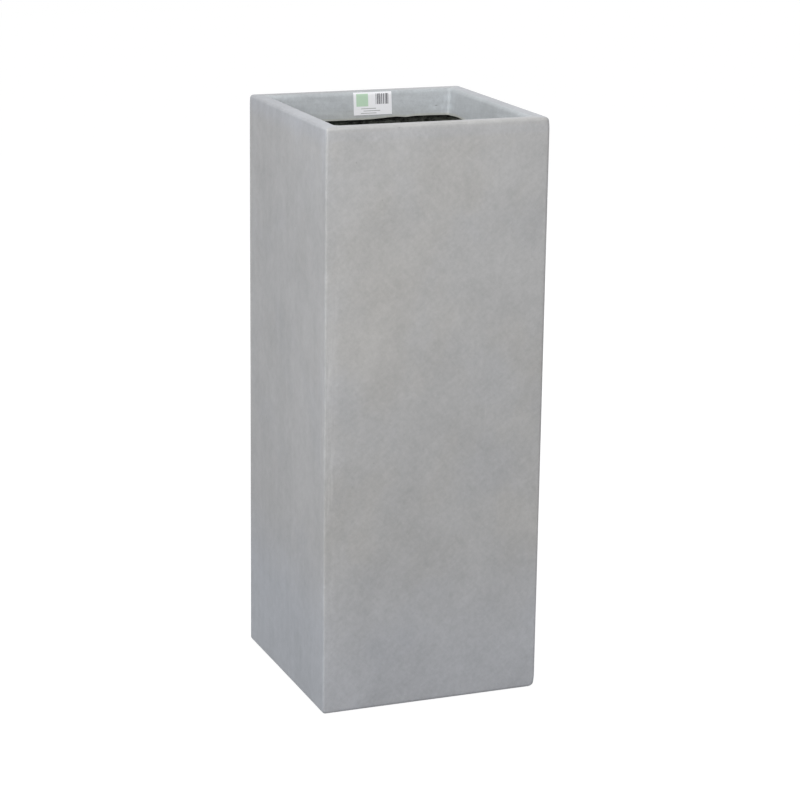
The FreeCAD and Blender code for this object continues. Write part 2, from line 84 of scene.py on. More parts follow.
# upright edges and how round they get at the foot and the rim, each for the corners front
# right, back right, back left and front left; the last is the crisp one near the camera
UPRIGHTS = (0.005, 0.005, 0.005, 0.003)
FOOT_CORNERS = (0.011, 0.008, 0.005, 0.005)
RIM_CORNERS = (0.011, 0.007, 0.008, 0.004)
RIM_WIDTH = 0.0225
MOUTH_EDGE = 0.006                   # soft inner edge of the rim
MOUTH_CORNER = 0.0035
COLLAR_DEPTH = 0.0380                # rim top to the trimmed edge, before it strays
COLLAR_LEAN = 0.0042                 # how far that edge stands in
DRAIN = 0.013                        # radius of the drain hole
TAPE = 0.002                         # thickness of the corner tapes
BEND = 0.006                         # inner radius where a mat turns a corner
print("outside %.3f x %.3f x %.3f, coat %.4f, mats %.4f" % (
    2 * HALF_X, 2 * HALF_Y, HEIGHT, COAT, MAT))

# %% [markdown]
# ## Camera
# The photograph looks at the planter from a little above, turned so that the front shows
# wide and the left side narrow. The lens is long, so the upright edges hardly converge. The
# place, the angles and the lens come from fitting the planter's outline. The angles are
# written as yaw, pitch and roll, which can be read and changed one by one.

# %% Place the camera
CAMERA_PLACE = Vector((-1.25372, -3.18430, 1.30823))
YAW, PITCH, ROLL = math.radians(21.6656), math.radians(15.0452), math.radians(-0.7708)
LENS = 114.544                       # millimetres, on a sensor 36 wide

ahead = Vector((math.sin(YAW) * math.cos(PITCH), math.cos(YAW) * math.cos(PITCH), -math.sin(PITCH)))
level = Vector((math.cos(YAW), -math.sin(YAW), 0))
below = ahead.cross(level)
right = math.cos(ROLL) * level + math.sin(ROLL) * below
down = math.cos(ROLL) * below - math.sin(ROLL) * level
camera = bpy.data.objects.new("camera", bpy.data.cameras.new("camera"))
camera.data.lens = LENS
camera.data.sensor_width = 36
axes = Matrix((right, -down, -ahead)).transposed().to_4x4()
camera.matrix_world = Matrix.Translation(CAMERA_PLACE) @ axes
bpy.context.collection.objects.link(camera)
bpy.context.scene.camera = camera
print("camera %.2f m away" % CAMERA_PLACE.length)

# %% [markdown]
# ## Shader sums as Python
# A finish is a tree of nodes, and most of them are arithmetic. Built by hand they take a
# page for one line of thought. So a small class, Wire, stands for one output of a node.
# Adding two wires adds a Math node, and so do the other signs, also with a plain number on
# the left, as in 1 - mask.

# %% Wires
class Wire:
    """One output of a shader node, which can be used in sums."""

    def __init__(self, finish, socket):
        self.finish = finish
        self.socket = socket

    def sum(self, operation, *values):
        return self.finish.node("ShaderNodeMath", {"operation": operation}, dict(enumerate(values)))

    def __add__(self, other):
        return self.sum("ADD", self, other)

    def __sub__(self, other):
        return self.sum("SUBTRACT", self, other)

    def __rsub__(self, other):
        return self.sum("SUBTRACT", other, self)

    def __mul__(self, other):
        return self.sum("MULTIPLY", self, other)

    def __truediv__(self, other):
        return self.sum("DIVIDE", self, other)

    __radd__ = __add__
    __rmul__ = __mul__

    def size(self):
        return self.sum("ABSOLUTE", self)

    def smaller(self, other):
        return self.sum("MINIMUM", self, other)

    def larger(self, other):
        return self.sum("MAXIMUM", self, other)

    def between(self, start, end):
        """0 before start, 1 after end, and a smooth rise; start may be the larger."""
        ends = {"Value": self, "From Min": start, "From Max": end}
        return self.finish.node("ShaderNodeMapRange", {"interpolation_type": "SMOOTHSTEP"}, ends)


print("wires are ready")

# %% [markdown]
# Finish holds a node tree and makes every other node with one method: its type, its
# settings, then what goes into its sockets. More methods are for what is used again and
# again. Cloud is soft noise of a given size, which may be long and thin and turned. Spot is
# a single soft oval at a place of one's choice. Noted reads a number that a mesh keeps for
# each of its points. Bump turns a pattern into fine relief.

# %% Finishes
class Finish:
    """A node tree, built one node at a time; a new material if no tree is given."""

    def __init__(self, name, tree=None):
        if tree is None:
            self.material = bpy.data.materials.new(name)
            self.material.use_nodes = True
            tree = self.material.node_tree
        self.tree = tree

    def node(self, kind, settings={}, inputs={}, output=0):
        made = self.tree.nodes.new(kind)
        for name, value in settings.items():
            setattr(made, name, value)
        self.feed(made, inputs)
        return Wire(self, made.outputs[output])

    def feed(self, node, inputs):
        for name, value in inputs.items():
            if isinstance(value, Wire):
                self.tree.links.new(value.socket, node.inputs[name])
            else:
                node.inputs[name].default_value = value

    def surface(self, **inputs):
        """Feed the Principled shader; spaces in the sockets' names are written as _."""
        named = {name.replace("_", " "): value for name, value in inputs.items()}
        self.feed(self.tree.nodes["Principled BSDF"], named)

    def parts(self, vector):
        """The three numbers of a vector."""
        split = self.node("ShaderNodeSeparateXYZ", inputs={0: vector}).socket.node
        return [Wire(self, socket) for socket in split.outputs]

    def vector(self, operation, *values, output=0, **named):
        inputs = dict(enumerate(values)) | named
        return self.node("ShaderNodeVectorMath", {"operation": operation}, inputs, output)

    def mix(self, mask, first, second):
        """A colour that goes from first to second as the mask goes from 0 to 1."""
        return self.node("ShaderNodeMix", {"data_type": "RGBA"}, {0: mask, 6: first, 7: second}, 2)

    def moved(self, place, centre=(0, 0, 0), size=(1, 1, 1), turned=(0, 0, 0)):
        """A place as seen from a centre, measured in units of a size along turned axes."""
        inputs = {"Vector": place, "Location": centre, "Rotation": turned, "Scale": size}
        return self.node("ShaderNodeMapping", {"vector_type": "TEXTURE"}, inputs)

    def cloud(self, place, size, turned=(0, 0, 0), detail=3.0, rough=0.55):
        """Soft noise, about 0.5 on average, with features of a size in metres."""
        values = {"Vector": self.moved(place, (0, 0, 0), size, turned), "Scale": 1.0,
                  "Detail": detail, "Roughness": rough}
        return self.node("ShaderNodeTexNoise", inputs=values)

    def spot(self, place, centre, size, slant=0.0):
        """1 at the centre of a soft oval and 0 outside it; slant turns it about Y."""
        near = self.moved(place, centre, size, (0, math.radians(slant), 0))
        return self.vector("LENGTH", near, output="Value").between(1.0, 0.0)

    def noted(self, name):
        return self.node("ShaderNodeAttribute", {"attribute_name": name}, output="Fac")

    def bump(self, height, strength, distance):
        inputs = {"Height": height, "Strength": strength, "Distance": distance}
        return self.node("ShaderNodeBump", inputs=inputs)


print("finishes are ready")

# %% [markdown]
# ## Studio
# The photograph is a catalogue picture: soft light from above, a pure white background and
# hardly a shadow. A white background made with strong lamps would bleach the planter too.
# So the light stays at a level where colours show as written, and only the rays that the
# camera, a gloss or a glass sends out find the floor and the sky white. The floor keeps a
# faint shadow, because a part of what those rays find is still lit by the lamps.

# %% World and floor
SKY_LIGHT = 0.50                     # brightness of the sky for everything but the view
FLOOR_SHADE = (0.45, 0.46, 0.485, 1)  # the floor as it lights the planter from below
FLOOR_SHADOW = 0.12                  # how much of the white floor can fall into shadow
WHITE_FLOOR = 1.07                   # so that floor in full light reaches pure white
FLOOR_WIDTH = 16
FLOOR_DROP = 0.0004                  # it lies this far below the foot, so no faces coincide
WHITE = (1, 1, 1, 1)
EYE_RAYS = ("Is Camera Ray", "Is Glossy Ray", "Is Transmission Ray")


def seen_by_eye(finish):
    """1 for the rays that show the background: from the camera, a gloss or a glass."""
    rays = finish.node("ShaderNodeLightPath").socket.node.outputs
    camera_ray, gloss, glass = [Wire(finish, rays[name]) for name in EYE_RAYS]
    return camera_ray.larger(gloss).larger(glass)


world = bpy.data.worlds.new("studio")
world.use_nodes = True
bpy.context.scene.world = world
sky = Finish("sky", world.node_tree)
sky_strength = SKY_LIGHT + seen_by_eye(sky) * (1 - SKY_LIGHT)
sky.feed(sky.tree.nodes["Background"], {"Color": WHITE, "Strength": sky_strength})

ground = Finish("studio_floor")
lit = ground.node("ShaderNodeBsdfDiffuse", inputs={"Color": WHITE})
glow = ground.node("ShaderNodeEmission", inputs={"Color": WHITE, "Strength": WHITE_FLOOR})
dull = ground.node("ShaderNodeBsdfDiffuse", inputs={"Color": FLOOR_SHADE})
clear = ground.node("ShaderNodeBsdfTransparent")
shown = ground.node("ShaderNodeMixShader", inputs={0: FLOOR_SHADOW, 1: glow, 2: lit})
either = ground.node("ShaderNodeMixShader", inputs={0: seen_by_eye(ground), 1: dull, 2: shown})
underside = ground.node("ShaderNodeNewGeometry", output="Backfacing")
result = ground.node("ShaderNodeMixShader", inputs={0: underside, 1: either, 2: clear})
ground.feed(ground.tree.nodes["Material Output"], {"Surface": result})

bpy.ops.mesh.primitive_plane_add(size=FLOOR_WIDTH, location=(0, 0, -FLOOR_DROP))
floor = bpy.context.object
floor.name = "studio_floor"
floor.data.materials.append(ground.material)
bpy.context.scene.view_settings.view_transform = "Standard"
print("sky light", SKY_LIGHT, "floor", floor.name)

# %% [markdown]
# The lamps are large and soft. The high one in front stands close, so its light fades down
# the walls and leaves the foot darker than the rim, as in the photograph. The others fill
# the front and the left side, and one behind lights the back and the right side.

# %% Lamps
def add_lamp(name, place, watts, width):
    """A square lamp that looks at the middle of the planter."""
    lamp = bpy.data.lights.new(name, "AREA")
    lamp.energy = watts
    lamp.size = width
    holder = bpy.data.objects.new(name, lamp)
    holder.location = place
    aim = Vector((0, 0, HEIGHT / 2)) - Vector(place)
    holder.rotation_euler = aim.to_track_quat("-Z", "Y").to_euler()
    bpy.context.collection.objects.link(holder)


add_lamp("front_high", (-0.5, -1.1, 1.75), 8.4, 0.8)
add_lamp("front_left", (-1.6, -2.2, 1.7), 22.3, 1.4)
add_lamp("left", (-2.4, -0.4, 1.6), 12.6, 1.4)
add_lamp("back_right", (1.6, 2.0, 1.8), 36, 1.4)
print("lamps:", [lamp.name for lamp in bpy.data.lights])

# %% [markdown]
# ## One way to build every skin
# All the pieces here are skins of some thickness: a wall, a collar, a mat, a label. Each can
# be drawn as a row of rings with the same number of points, like the hoops of a barrel.
# Faces join each ring to the next. If the last ring joins the first, the skin closes on
# itself, as the coat does round its own thickness. If not, each end gets a cap.

# %% Rings into a mesh
SMOOTH_UNDER = math.radians(35)      # edges flatter than this are shaded smooth


def ring_faces(rings, points, closed):
    """Quads between neighbouring rings, and caps that zip up the first and last ring."""
    faces = []
    for i in range(rings if closed else rings - 1):
        here, there = i * points, (i + 1) % rings * points
        for j in range(points):
            after = (j + 1) % points
            faces.append((here + j, here + after, there + after, there + j))
    if not closed:
        for first in (0, (rings - 1) * points):
            for j in range(points // 2 - 1):
                mirror = first + points - 1 - j
                faces.append((first + j, mirror, mirror - 1, first + j + 1))
    return faces


def build_piece(name, skins, finish, nodes, body="planter", closed=True, notes={}):
    """A mesh of one or more skins, each an array of rings x points x 3."""
    verts, faces = [], []
    for skin in skins:
        first = len(verts)
        verts.extend(map(tuple, skin.reshape(-1, 3)))
        quads = ring_faces(skin.shape[0], skin.shape[1], closed)
        faces.extend(tuple(first + k for k in quad) for quad in quads)
    mesh = bpy.data.meshes.new(name)
    mesh.from_pydata(verts, [], faces)
    tidy = bmesh.new()
    tidy.from_mesh(mesh)
    bmesh.ops.recalc_face_normals(tidy, faces=tidy.faces)
    tidy.to_mesh(mesh)
    tidy.free()
    for note, values in notes.items():
        mesh.attributes.new(note, "FLOAT", "POINT").data.foreach_set("value", values.ravel())
    mesh.polygons.foreach_set("use_smooth", [True] * len(faces))
    mesh.set_sharp_from_angle(angle=SMOOTH_UNDER)
    mesh.materials.append(finish.material)
    piece = bpy.data.objects.new(name, mesh)
    bpy.context.collection.objects.link(piece)
    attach(piece, body)
    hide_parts(*nodes)
    print("%-24s %6d faces" % (name, len(faces)))


# %% [markdown]
# The plan of nearly every ring is a square with round corners. The points crowd towards the
# corners, where edges chip and turn, and spread out along the flats. Rings of any size then
# have matching points, so a ring on the outside can join one round the mouth.

# %% The planter's plan as a ring
SIDE_STEPS = 22
CORNER_STEPS = 9
SHARP = 0.0006                       # the smallest corner, so that no points coincide


def plan_ring(inset, corner, height):
    """Points round the plan, drawn in by an inset, anticlockwise from the front left.

    The corner is one radius or four, from the front right to the front left.
    """
    corners = [max(float(radius), SHARP) for radius in np.broadcast_to(corner, 4)]
    halves = (HALF_X - inset, HALF_Y - inset)
    ring = []
    for side in range(4):
        half, out = halves[side % 2], halves[1 - side % 2]
        start, end = corners[side - 1] - half, half - corners[side]
        turn = Matrix.Rotation(side * math.pi / 2, 2)
        for step in range(SIDE_STEPS + 1):
            share = 2 * step / SIDE_STEPS - 1
            share = (1 + 1.5 * share - 0.5 * share ** 3) / 2  # crowds the points at both ends
            ring.append(turn @ Vector((start + (end - start) * share, -out)))
        centre = Vector((end, corners[side] - out))
        for step in range(1, CORNER_STEPS):
            angle = -math.pi / 2 + math.pi / 2 * step / CORNER_STEPS
            way = Vector((math.cos(angle), math.sin(angle)))
            ring.append(turn @ (centre + corners[side] * way))
    return np.array([(point.x, point.y, height) for point in ring])


FOOT_REACH, RIM_REACH = 0.020, 0.016  # how far from the foot and the top the corners change


def outer_ring(inset, height):
    """A ring on the outside, whose corners grow rounder towards the foot and the rim."""
    by_foot = max(0, 1 - height / FOOT_REACH) ** 2
    by_rim = max(0, 1 - (HEIGHT - height) / RIM_REACH) ** 2
    uprights, foot_corners, rim_corners = map(np.array, (UPRIGHTS, FOOT_CORNERS, RIM_CORNERS))
    corners = uprights + (foot_corners - uprights) * by_foot + (rim_corners - uprights) * by_rim
    return plan_ring(inset, corners - inset, height)


def round_ring(radius, height):
    """A circle whose points lie in the same directions as those of the plan."""
    plan = plan_ring(0, ARRIS, height)
    away = np.linalg.norm(plan[:, :2], axis=1)
    plan[:, :2] *= radius / away[:, None]
    return plan


def arc(start, end, steps):
    """Angles in degrees as radians, evenly spaced from start to end."""
    return [math.radians(start + (end - start) * step / steps) for step in range(steps + 1)]


def steps(start, end, count):
    """Evenly spaced numbers from just after start to end."""
    return [start + (end - start) * step / count for step in range(1, count + 1)]


print("a ring has", len(plan_ring(0, ARRIS, 0)), "points")

# %% [markdown]
# ## The hand in the surface
# A moulded face is flat to the eye, but light shows that it swells and dips by some tenths
# of a millimetre, and its edges are nicked where it was lifted out. One function gives the
# swell at any place, so two pieces that meet there still meet. Chips are small bowls pressed
# into the edges. The mesh notes them as a number, worn, for the finish to read.

# %% Swell and chips
SWELL = 0.00045                      # the deepest dip
SWELL_SIZE, RIPPLE_SIZE = 0.16, 0.045  # how wide the swells and the ripples on them are
CHIP_DEPTH = 0.20                    # share of a chip's radius
CHIP_RADIUS, CHIP_SPREAD = 0.0012, 0.0028  # of the smallest; how much more a large one has
CHIP_FLAT = 1.8                      # above 1 the bottom of the bowl is flat
NICK = ARRIS * (1 - math.sqrt(0.5))  # where an arris turns, in from both its faces


def swell(points, size, seed):
    """Smooth noise from -1 to 1 at each point, with features of a size in metres."""
    shift = Vector((seed * 7.3, seed * 1.7, seed * 4.1))
    flat = points.reshape(-1, 3)
    values = [noise.noise(Vector(point) / size + shift) for point in flat]
    return np.array(values).reshape(points.shape[:-1])


def outward(skin):
    """The direction away from the skin at each of its points."""
    onward = np.roll(skin, -1, 0) - np.roll(skin, 1, 0)
    around = np.roll(skin, -1, 1) - np.roll(skin, 1, 1)
    away = np.cross(around, onward)
    away[np.abs(skin[..., 2] - SEAM) < 1e-6, 2] = 0
    return away / np.maximum(np.linalg.norm(away, axis=2, keepdims=True), 1e-12)


def edge_chips(count, seed, low, high):
    """Random chips along the four upright edges, as (place, radius)."""
    dice = random.Random(seed)
    chips = []
    for sx in (-1, 1):
        for sy in (-1, 1):
            for _ in range(count):
                place = (sx * (HALF_X - NICK), sy * (HALF_Y - NICK), dice.uniform(low, high))
                chips.append((place, CHIP_RADIUS + CHIP_SPREAD * dice.random() ** 3))
    return chips


def weather(skin, chips):
    """Move a skin's points inwards by the swell and the chips; also return the wear."""
    swells, ripples = swell(skin, SWELL_SIZE, 1), swell(skin, RIPPLE_SIZE, 2)
    depth = SWELL / 2 * (1 + 0.7 * swells + 0.3 * ripples)
    worn = np.zeros(depth.shape)
    for place, radius in chips:
        far = np.linalg.norm(skin - place, axis=2) / radius
        bowl = np.clip(CHIP_FLAT * (1 - far), 0, 1)
        worn = np.maximum(worn, bowl)
        depth += CHIP_DEPTH * radius * bowl
    return skin - outward(skin) * depth[..., None], worn


print("swell %.2f mm" % (SWELL * 1000))

# %% [markdown]
# ## The stone coat
# The finish is a resin full of stone powder, sanded and rubbed back by hand. Seen close it
# has a fine grain, short sanding strokes on the slant and a few long hairline scratches.
# Seen from a step away it is cloudy, warmer in some patches and bluer in others. It could be
# painted as one picture, but then it would stretch and have a seam. Here it is worked out
# from the place in space, so it runs unbroken round every corner and over the joint of rim
# and walls. Strokes must lie in the face they are cut into. For them the place is unrolled:
# along the side, then up the wall, over the rim and on.

# %% Places on the planter
BLEND = 0.0002                       # half width of the change from one side to the next


def unroll(finish):
    """The place, its height, how far in from the nearest side and from the corner it is,
    whether it belongs to the left or right side (1) or not (0), and the unrolled place."""
    place = finish.node("ShaderNodeTexCoord", output="Object")
    x, y, z = finish.parts(place)
    to_side = HALF_X - x.size()
    to_front = HALF_Y - y.size()
    in_plan = to_side.smaller(to_front)
    on_side = (to_front - to_side).between(-BLEND, BLEND)
    on_floor = z.between(BASE_TOP + MAT + 0.001, BASE_TOP + MAT) * in_plan.between(0.0085, 0.0095)
    along = x + (y - x) * on_side * (1 - on_floor)
    depth = y + (x - y) * on_side
    upwards = (z + in_plan) * (1 - on_floor) + y * on_floor
    unrolled = finish.node("ShaderNodeCombineXYZ",
                           inputs={0: along, 1: depth * (1 - on_floor) + z * on_floor, 2: upwards})
    return place, z, in_plan, to_side.larger(to_front), on_side, unrolled


coat = Finish("stone_coat")
place, z, in_plan, from_corner, on_side, unrolled = unroll(coat)
mouth = RIM_WIDTH - MOUTH_EDGE       # how far in the soft inner edge begins
in_mouth = in_plan.between(mouth, mouth + 0.003) * z.between(0.750, 0.755)
on_top = in_plan.between(0.003, 0.006) * z.between(SEAM, HEIGHT - 0.003) * (1 - in_mouth)
print("the coat knows its place")

# %% [markdown]
# Colour comes first. Four sizes of cloud lighten and darken a mid grey by a few parts in a
# hundred. Two more decide where it leans to a warm or a bluish grey. The foot is bluer, which
# is a painted bounce of bluish light from the floor, and the sides are bluer too. The collar
# has the cool grey of coat that nobody has rubbed back, and it is painted paler than the
# walls as painted light in the mouth.

# %% Clouds and tints
STONE = (0.450, 0.4475, 0.4435, 1)
STONE_WARM = (0.457, 0.446, 0.427, 1)
STONE_COOL = (0.437, 0.447, 0.472, 1)
STONE_SIDE = (0.425, 0.449, 0.478, 1)
# the collar's own cool unrubbed grey, made paler than the walls as painted light in the mouth
STONE_MOUTH_WITH_PAINTED_LIGHT = (0.496, 0.522, 0.542, 1)

broad = coat.cloud(place, (0.21, 0.21, 0.26), detail=2.0)
middle = coat.cloud(place, (0.055, 0.055, 0.075), (0.2, 0.5, 0.3), detail=5.0, rough=0.6)
fine = coat.cloud(place, (0.012, 0.012, 0.012), detail=4.0, rough=0.65)
mottle = coat.cloud(place, (0.0052, 0.0052, 0.0052), rough=0.6)
shade = 1 + (broad - 0.5) * (1 - on_side * 0.5) * 0.22
shade += (middle - 0.5) * 0.29 + (fine - 0.5) * 0.20
shade += (mottle - 0.5) * (1 - on_side * 0.7) * 0.20

warmth = coat.cloud(place, (0.10, 0.10, 0.16), (0.4, 0.1, 0.9)).between(0.46, 0.64)
coolness = coat.cloud(place, (0.13, 0.13, 0.10), (0.9, 0.3, 0.2)).between(0.5, 0.7)
# painted bounce: towards the foot the coat is tinted bluer, for bluish light thrown up by the floor
foot = z.between(0.26, 0.02)
# band of the faces below the rim's top: it takes a bluer tint, and further down a painted highlight
rubbed = z.between(0.765, 0.797)
warm = warmth * (1 - foot) * (1 - rubbed) * (1 - on_side * 0.7) * 0.5
tint = coat.mix(warm, STONE, STONE_WARM)
front_rim = coat.spot(place, (0, -HALF_Y, HEIGHT), (0.30, 0.03, 0.03))
# the foot's share of the cool tint is the painted bluish bounce from the floor
cool = coolness * 0.20 + foot * (0.75 + on_side * 0.4) + on_side * (0.22 + rubbed * 0.6)
cool += on_top * (1 - front_rim) * 0.75
tint = coat.mix(cool.smaller(1.0), tint, STONE_COOL)
# on the sides the foot's share is the same painted bluish bounce from the floor
tint = coat.mix(on_side * (foot * 0.42 + rubbed * 0.14 + 0.03), tint, STONE_SIDE)
# the collar's tint: partly its own grey, partly painted light
tint = coat.mix(in_mouth, tint, STONE_MOUTH_WITH_PAINTED_LIGHT)
print("tints: stone, warm, cool, side and mouth")

# %% [markdown]
# Random clouds alone never fall as they do on one particular planter. Soft ovals put the
# larger patches where the photograph has them, on the front, the left side, the foot, the
# rim and the collar, each a little lighter or darker. One more, in the upper left of the
# front, is warm. Two of the ovals are painted light rather than tone: the bright one on the
# back of the collar and the one along the front of the rim's top edge.

# %% Patches of this planter
PATCHES = [                          # centre, half size, lighter or darker
    ((-0.02, -HALF_Y, 0.69), (0.09, 0.05, 0.07), 0.022),
    ((0.138, -HALF_Y, 0.65), (0.026, 0.05, 0.07), -0.035),
    ((-0.03, -HALF_Y, 0.22), (0.13, 0.05, 0.10), -0.022),
    ((0.045, -HALF_Y, 0.33), (0.06, 0.05, 0.07), -0.018),
    ((-HALF_X, 0.03, 0.47), (0.05, 0.08, 0.24), -0.024),
    ((-HALF_X, -0.14, 0.60), (0.05, 0.05, 0.20), 0.018),
    ((-0.145, -HALF_Y, 0.475), (0.020, 0.02, 0.075), 0.030),
    # painted light: the back of the collar made lighter towards the right
    ((0.10, HALF_Y - 0.025, 0.785), (0.11, 0.03, 0.06), 0.120),
    ((-0.04, HALF_Y - 0.006, HEIGHT), (0.19, 0.018, 0.010), -0.110),
    ((HALF_X - 0.006, 0.03, HEIGHT), (0.018, 0.14, 0.010), -0.045),
    ((HALF_X - 0.025, 0.03, 0.78), (0.012, 0.12, 0.04), -0.060),
    ((-HALF_X, -0.02, 0.78), (0.05, 0.17, 0.08), 0.040),
    ((-HALF_X, -HALF_Y, 0.05), (0.05, 0.05, 0.20), 0.055),
    ((0.115, -HALF_Y, 0.45), (0.05, 0.05, 0.16), 0.045),
    # painted highlight along the front of the rim's top edge
    ((0.0, -HALF_Y, HEIGHT), (0.20, 0.02, 0.02), 0.045),
]
for centre, half_size, change in PATCHES:
    shade += coat.spot(place, centre, half_size) * change
warm_patch = coat.spot(place, (-0.085, -HALF_Y, 0.60), (0.085, 0.05, 0.19))
tint = coat.mix(warm_patch * 0.6, tint, STONE_WARM)
print(len(PATCHES) + 1, "patches")

# %% [markdown]
# The sanding strokes are noise pulled out long and thin, turned to a few angles. Laid over
# each other they look hatched, and two layers of wider ones lie below them like the marks
# of a broad brush. The same noise with a high threshold leaves only its peaks, which are
# pale hairlines that fade at both ends. The few that catch the eye on the front are thin
# ovals again, bent a little by adding noise to the place.

# %% Strokes, scratches and grain
SWAY = 0.012                         # how far a bent place wanders, half of it on average
OVAL_DEPTH = 0.02                    # how deep a thin oval reaches to either side of a face


def strokes(slant, length, width):
    """Noise drawn out along a direction that leans by some degrees from upright."""
    return coat.cloud(unrolled, (width, 0.01, length), (0, math.radians(slant), 0), 2.0, 0.5)


wave = coat.node("ShaderNodeTexNoise", inputs={"Vector": place, "Scale": 22.0}, output="Color")
bent = coat.vector("MULTIPLY_ADD", wave, (SWAY, 0, SWAY), place)


def bent_oval(centre, width, length, slant):
    """A thin soft oval with some half width and half length, bent as a hand would draw it."""
    x, y, height = centre
    centre = (x + SWAY / 2, y, height + SWAY / 2)
    return coat.spot(bent, centre, (width, OVAL_DEPTH, length), slant)


hatching = strokes(42, 0.016, 0.0013) + strokes(-48, 0.014, 0.0015) + strokes(14, 0.020, 0.0013)
hatching = hatching / 3
brushed = (strokes(56, 0.045, 0.0042) + strokes(-38, 0.050, 0.0050)) / 2
scratched = strokes(38, 0.060, 0.0008).between(0.72, 0.80)
scratched += strokes(-62, 0.050, 0.0008).between(0.72, 0.80)
grain = coat.cloud(place, (0.0015, 0.0015, 0.0015), detail=2.0, rough=0.7)

SCRATCHES = [                        # x and z of the middle, half length, lean from upright
    (0.041, 0.561, 0.017, 58), (0.036, 0.527, 0.030, -34), (0.074, 0.422, 0.012, 4),
    (0.074, 0.405, 0.034, 8), (0.095, 0.272, 0.044, -4), (-0.060, 0.345, 0.024, -35),
    (0.121, 0.629, 0.010, 60), (0.010, 0.655, 0.020, 48), (0.075, 0.242, 0.026, -48),
]
for x, height, length, slant in SCRATCHES:
    scratched += bent_oval((x, -HALF_Y, height), 0.0009, length, slant)
shade += (hatching - 0.5) * 0.20 + scratched * 0.065 + (grain - 0.5) * 0.12
shade += (brushed - 0.5) * (1 - on_side * 0.6) * 0.15
print("seven layers of strokes,", len(SCRATCHES), "scratches")

# %% [markdown]
# On the sides the rubbing went up and down, which left soft upright streaks. Where the walls
# turn the corner the coat is scuffed in a narrow line, lighter here and darker there, with
# pale ragged streaks beside it, and the chips are paler still. The corner near the camera
# has a few longer rubs of its own, and it is worn to a cooler, paler grey near the top.

# %% Streaks and rubbed edges
streak = coat.cloud(unrolled, (0.014, 0.05, 0.24), detail=4.0, rough=0.6)
shade += (streak - 0.5) * on_side * 0.13 * (1 - in_mouth)

ragged = coat.cloud(unrolled, (0.0035, 0.01, 0.05), rough=0.7)
scuffed = coat.cloud(unrolled, (0.0030, 0.01, 0.016), rough=0.7)
drift = coat.cloud(place, (0.02, 0.02, 0.10))
near_left = coat.spot(place, (-HALF_X, -HALF_Y, 0.44), (0.05, 0.05, 0.26))
near_top = coat.spot(place, (-HALF_X, -0.147, 0.762), (0.02, 0.020, 0.060))
near_top = near_top * scuffed.between(0.35, 0.62)
tint = coat.mix(near_top * 0.8, tint, STONE_COOL)

lip = from_corner.between(0.0042, 0.0022) * (1 - in_mouth)
lip_shade = (scuffed - 0.54) * 0.36 + z.between(0.25, 0.05) * 0.03 - near_left * 0.05
halo = from_corner.between(0.026, 0.004) * ragged.between(0.30, 0.60) * (1 - in_mouth)
halo = halo * (drift.between(0.46, 0.62) * 0.5 + near_left)
top_lip = in_plan.between(0.0060, 0.0015) * z.between(HEIGHT - 0.0060, HEIGHT - 0.0015)
shade += lip * lip_shade + near_top * 0.11 + halo * 0.10
shade += top_lip * ragged.between(0.2, 0.5) * 0.02 + coat.noted("worn") * 0.08

RUBS = [                             # x and z of the middle, half width, half length, brightness
    (-0.148, 0.337, 0.0044, 0.068, 0.150), (-0.146, 0.190, 0.0044, 0.070, 0.085),
    (-0.142, 0.560, 0.0046, 0.050, 0.065), (-0.137, 0.758, 0.0056, 0.036, 0.060),
    (-0.1525, 0.300, 0.0020, 0.045, 0.110), (-0.151, 0.470, 0.0030, 0.050, 0.060),
]
for x, height, width, length, change in RUBS:
    rub = bent_oval((x, -HALF_Y, height), width, length, 1)
    shade += rub * ragged.between(0.25, 0.50) * change
print("rubbed lip and halo,", len(RUBS), "rubs by the near corner")

# %% [markdown]
# The joint between rim and walls is filled and sanded until it can hardly be seen. It stays
# readable as a band of cooler filler. In the mouth the coat was smeared on with a gloved
# hand: soft level streaks on the flats, and pale pulled lines in the corners, where the
# fingers turned. A pit was left by a burst bubble; its dark is painted shade in the hole.
# The trimmed edge below shows the resin's own beige, which at the back comes through higher
# up.

# %% Filled joint and the mouth
BEIGE = (0.47, 0.475, 0.42, 1)
TRIM = HEIGHT - COLLAR_DEPTH         # height of the trimmed edge, before it strays
waver = coat.cloud(place, (0.05, 0.05, 0.05))
filler = (z + waver * 0.006 - SEAM - 0.001).size().between(0.009, 0.003) * (1 - in_mouth)
tint = coat.mix(filler * 0.22, tint, STONE_COOL)
# painted highlight: the band below the rim's top edge made a little lighter
shade += rubbed * (1 - in_mouth) * 0.025

smear = coat.cloud(unrolled, (0.05, 0.02, 0.006), (0, 0.05, 0), detail=4.0, rough=0.6)
pull = coat.cloud(unrolled, (0.0026, 0.01, 0.045), rough=0.6)
turning = from_corner.between(0.050, 0.030) * in_mouth
shade += ((smear - 0.5) * 0.34 + (pull - 0.5) * 0.09) * in_mouth
shade += (pull - 0.46) * turning * z.between(0.797, 0.785) * 0.13

PULLS = [                            # middle, half width, half length, lean, brightness
    ((0.1325, 0.1335, 0.775), 0.0008, 0.014, 0, 0.16),
    ((0.125, 0.133, 0.779), 0.0034, 0.019, 18, 0.08),
    ((0.113, 0.133, 0.778), 0.0034, 0.014, 22, 0.06),
    ((0.110, 0.133, 0.7725), 0.0011, 0.013, -56, 0.07),
    ((0.104, 0.133, 0.775), 0.0030, 0.011, 40, 0.05),
]
for centre, width, length, slant, change in PULLS:
    shade += bent_oval(centre, width, length, slant) * change
for y in (0.115, 0.104):             # two more on the right of the mouth, straight ones
    shade += coat.spot(place, (0.1325, y, 0.778), (0.02, 0.0042, 0.020)) * 0.07
pit = coat.spot(place, (0.1129, 0.132, 0.7765), (0.0036, OVAL_DEPTH, 0.0013))
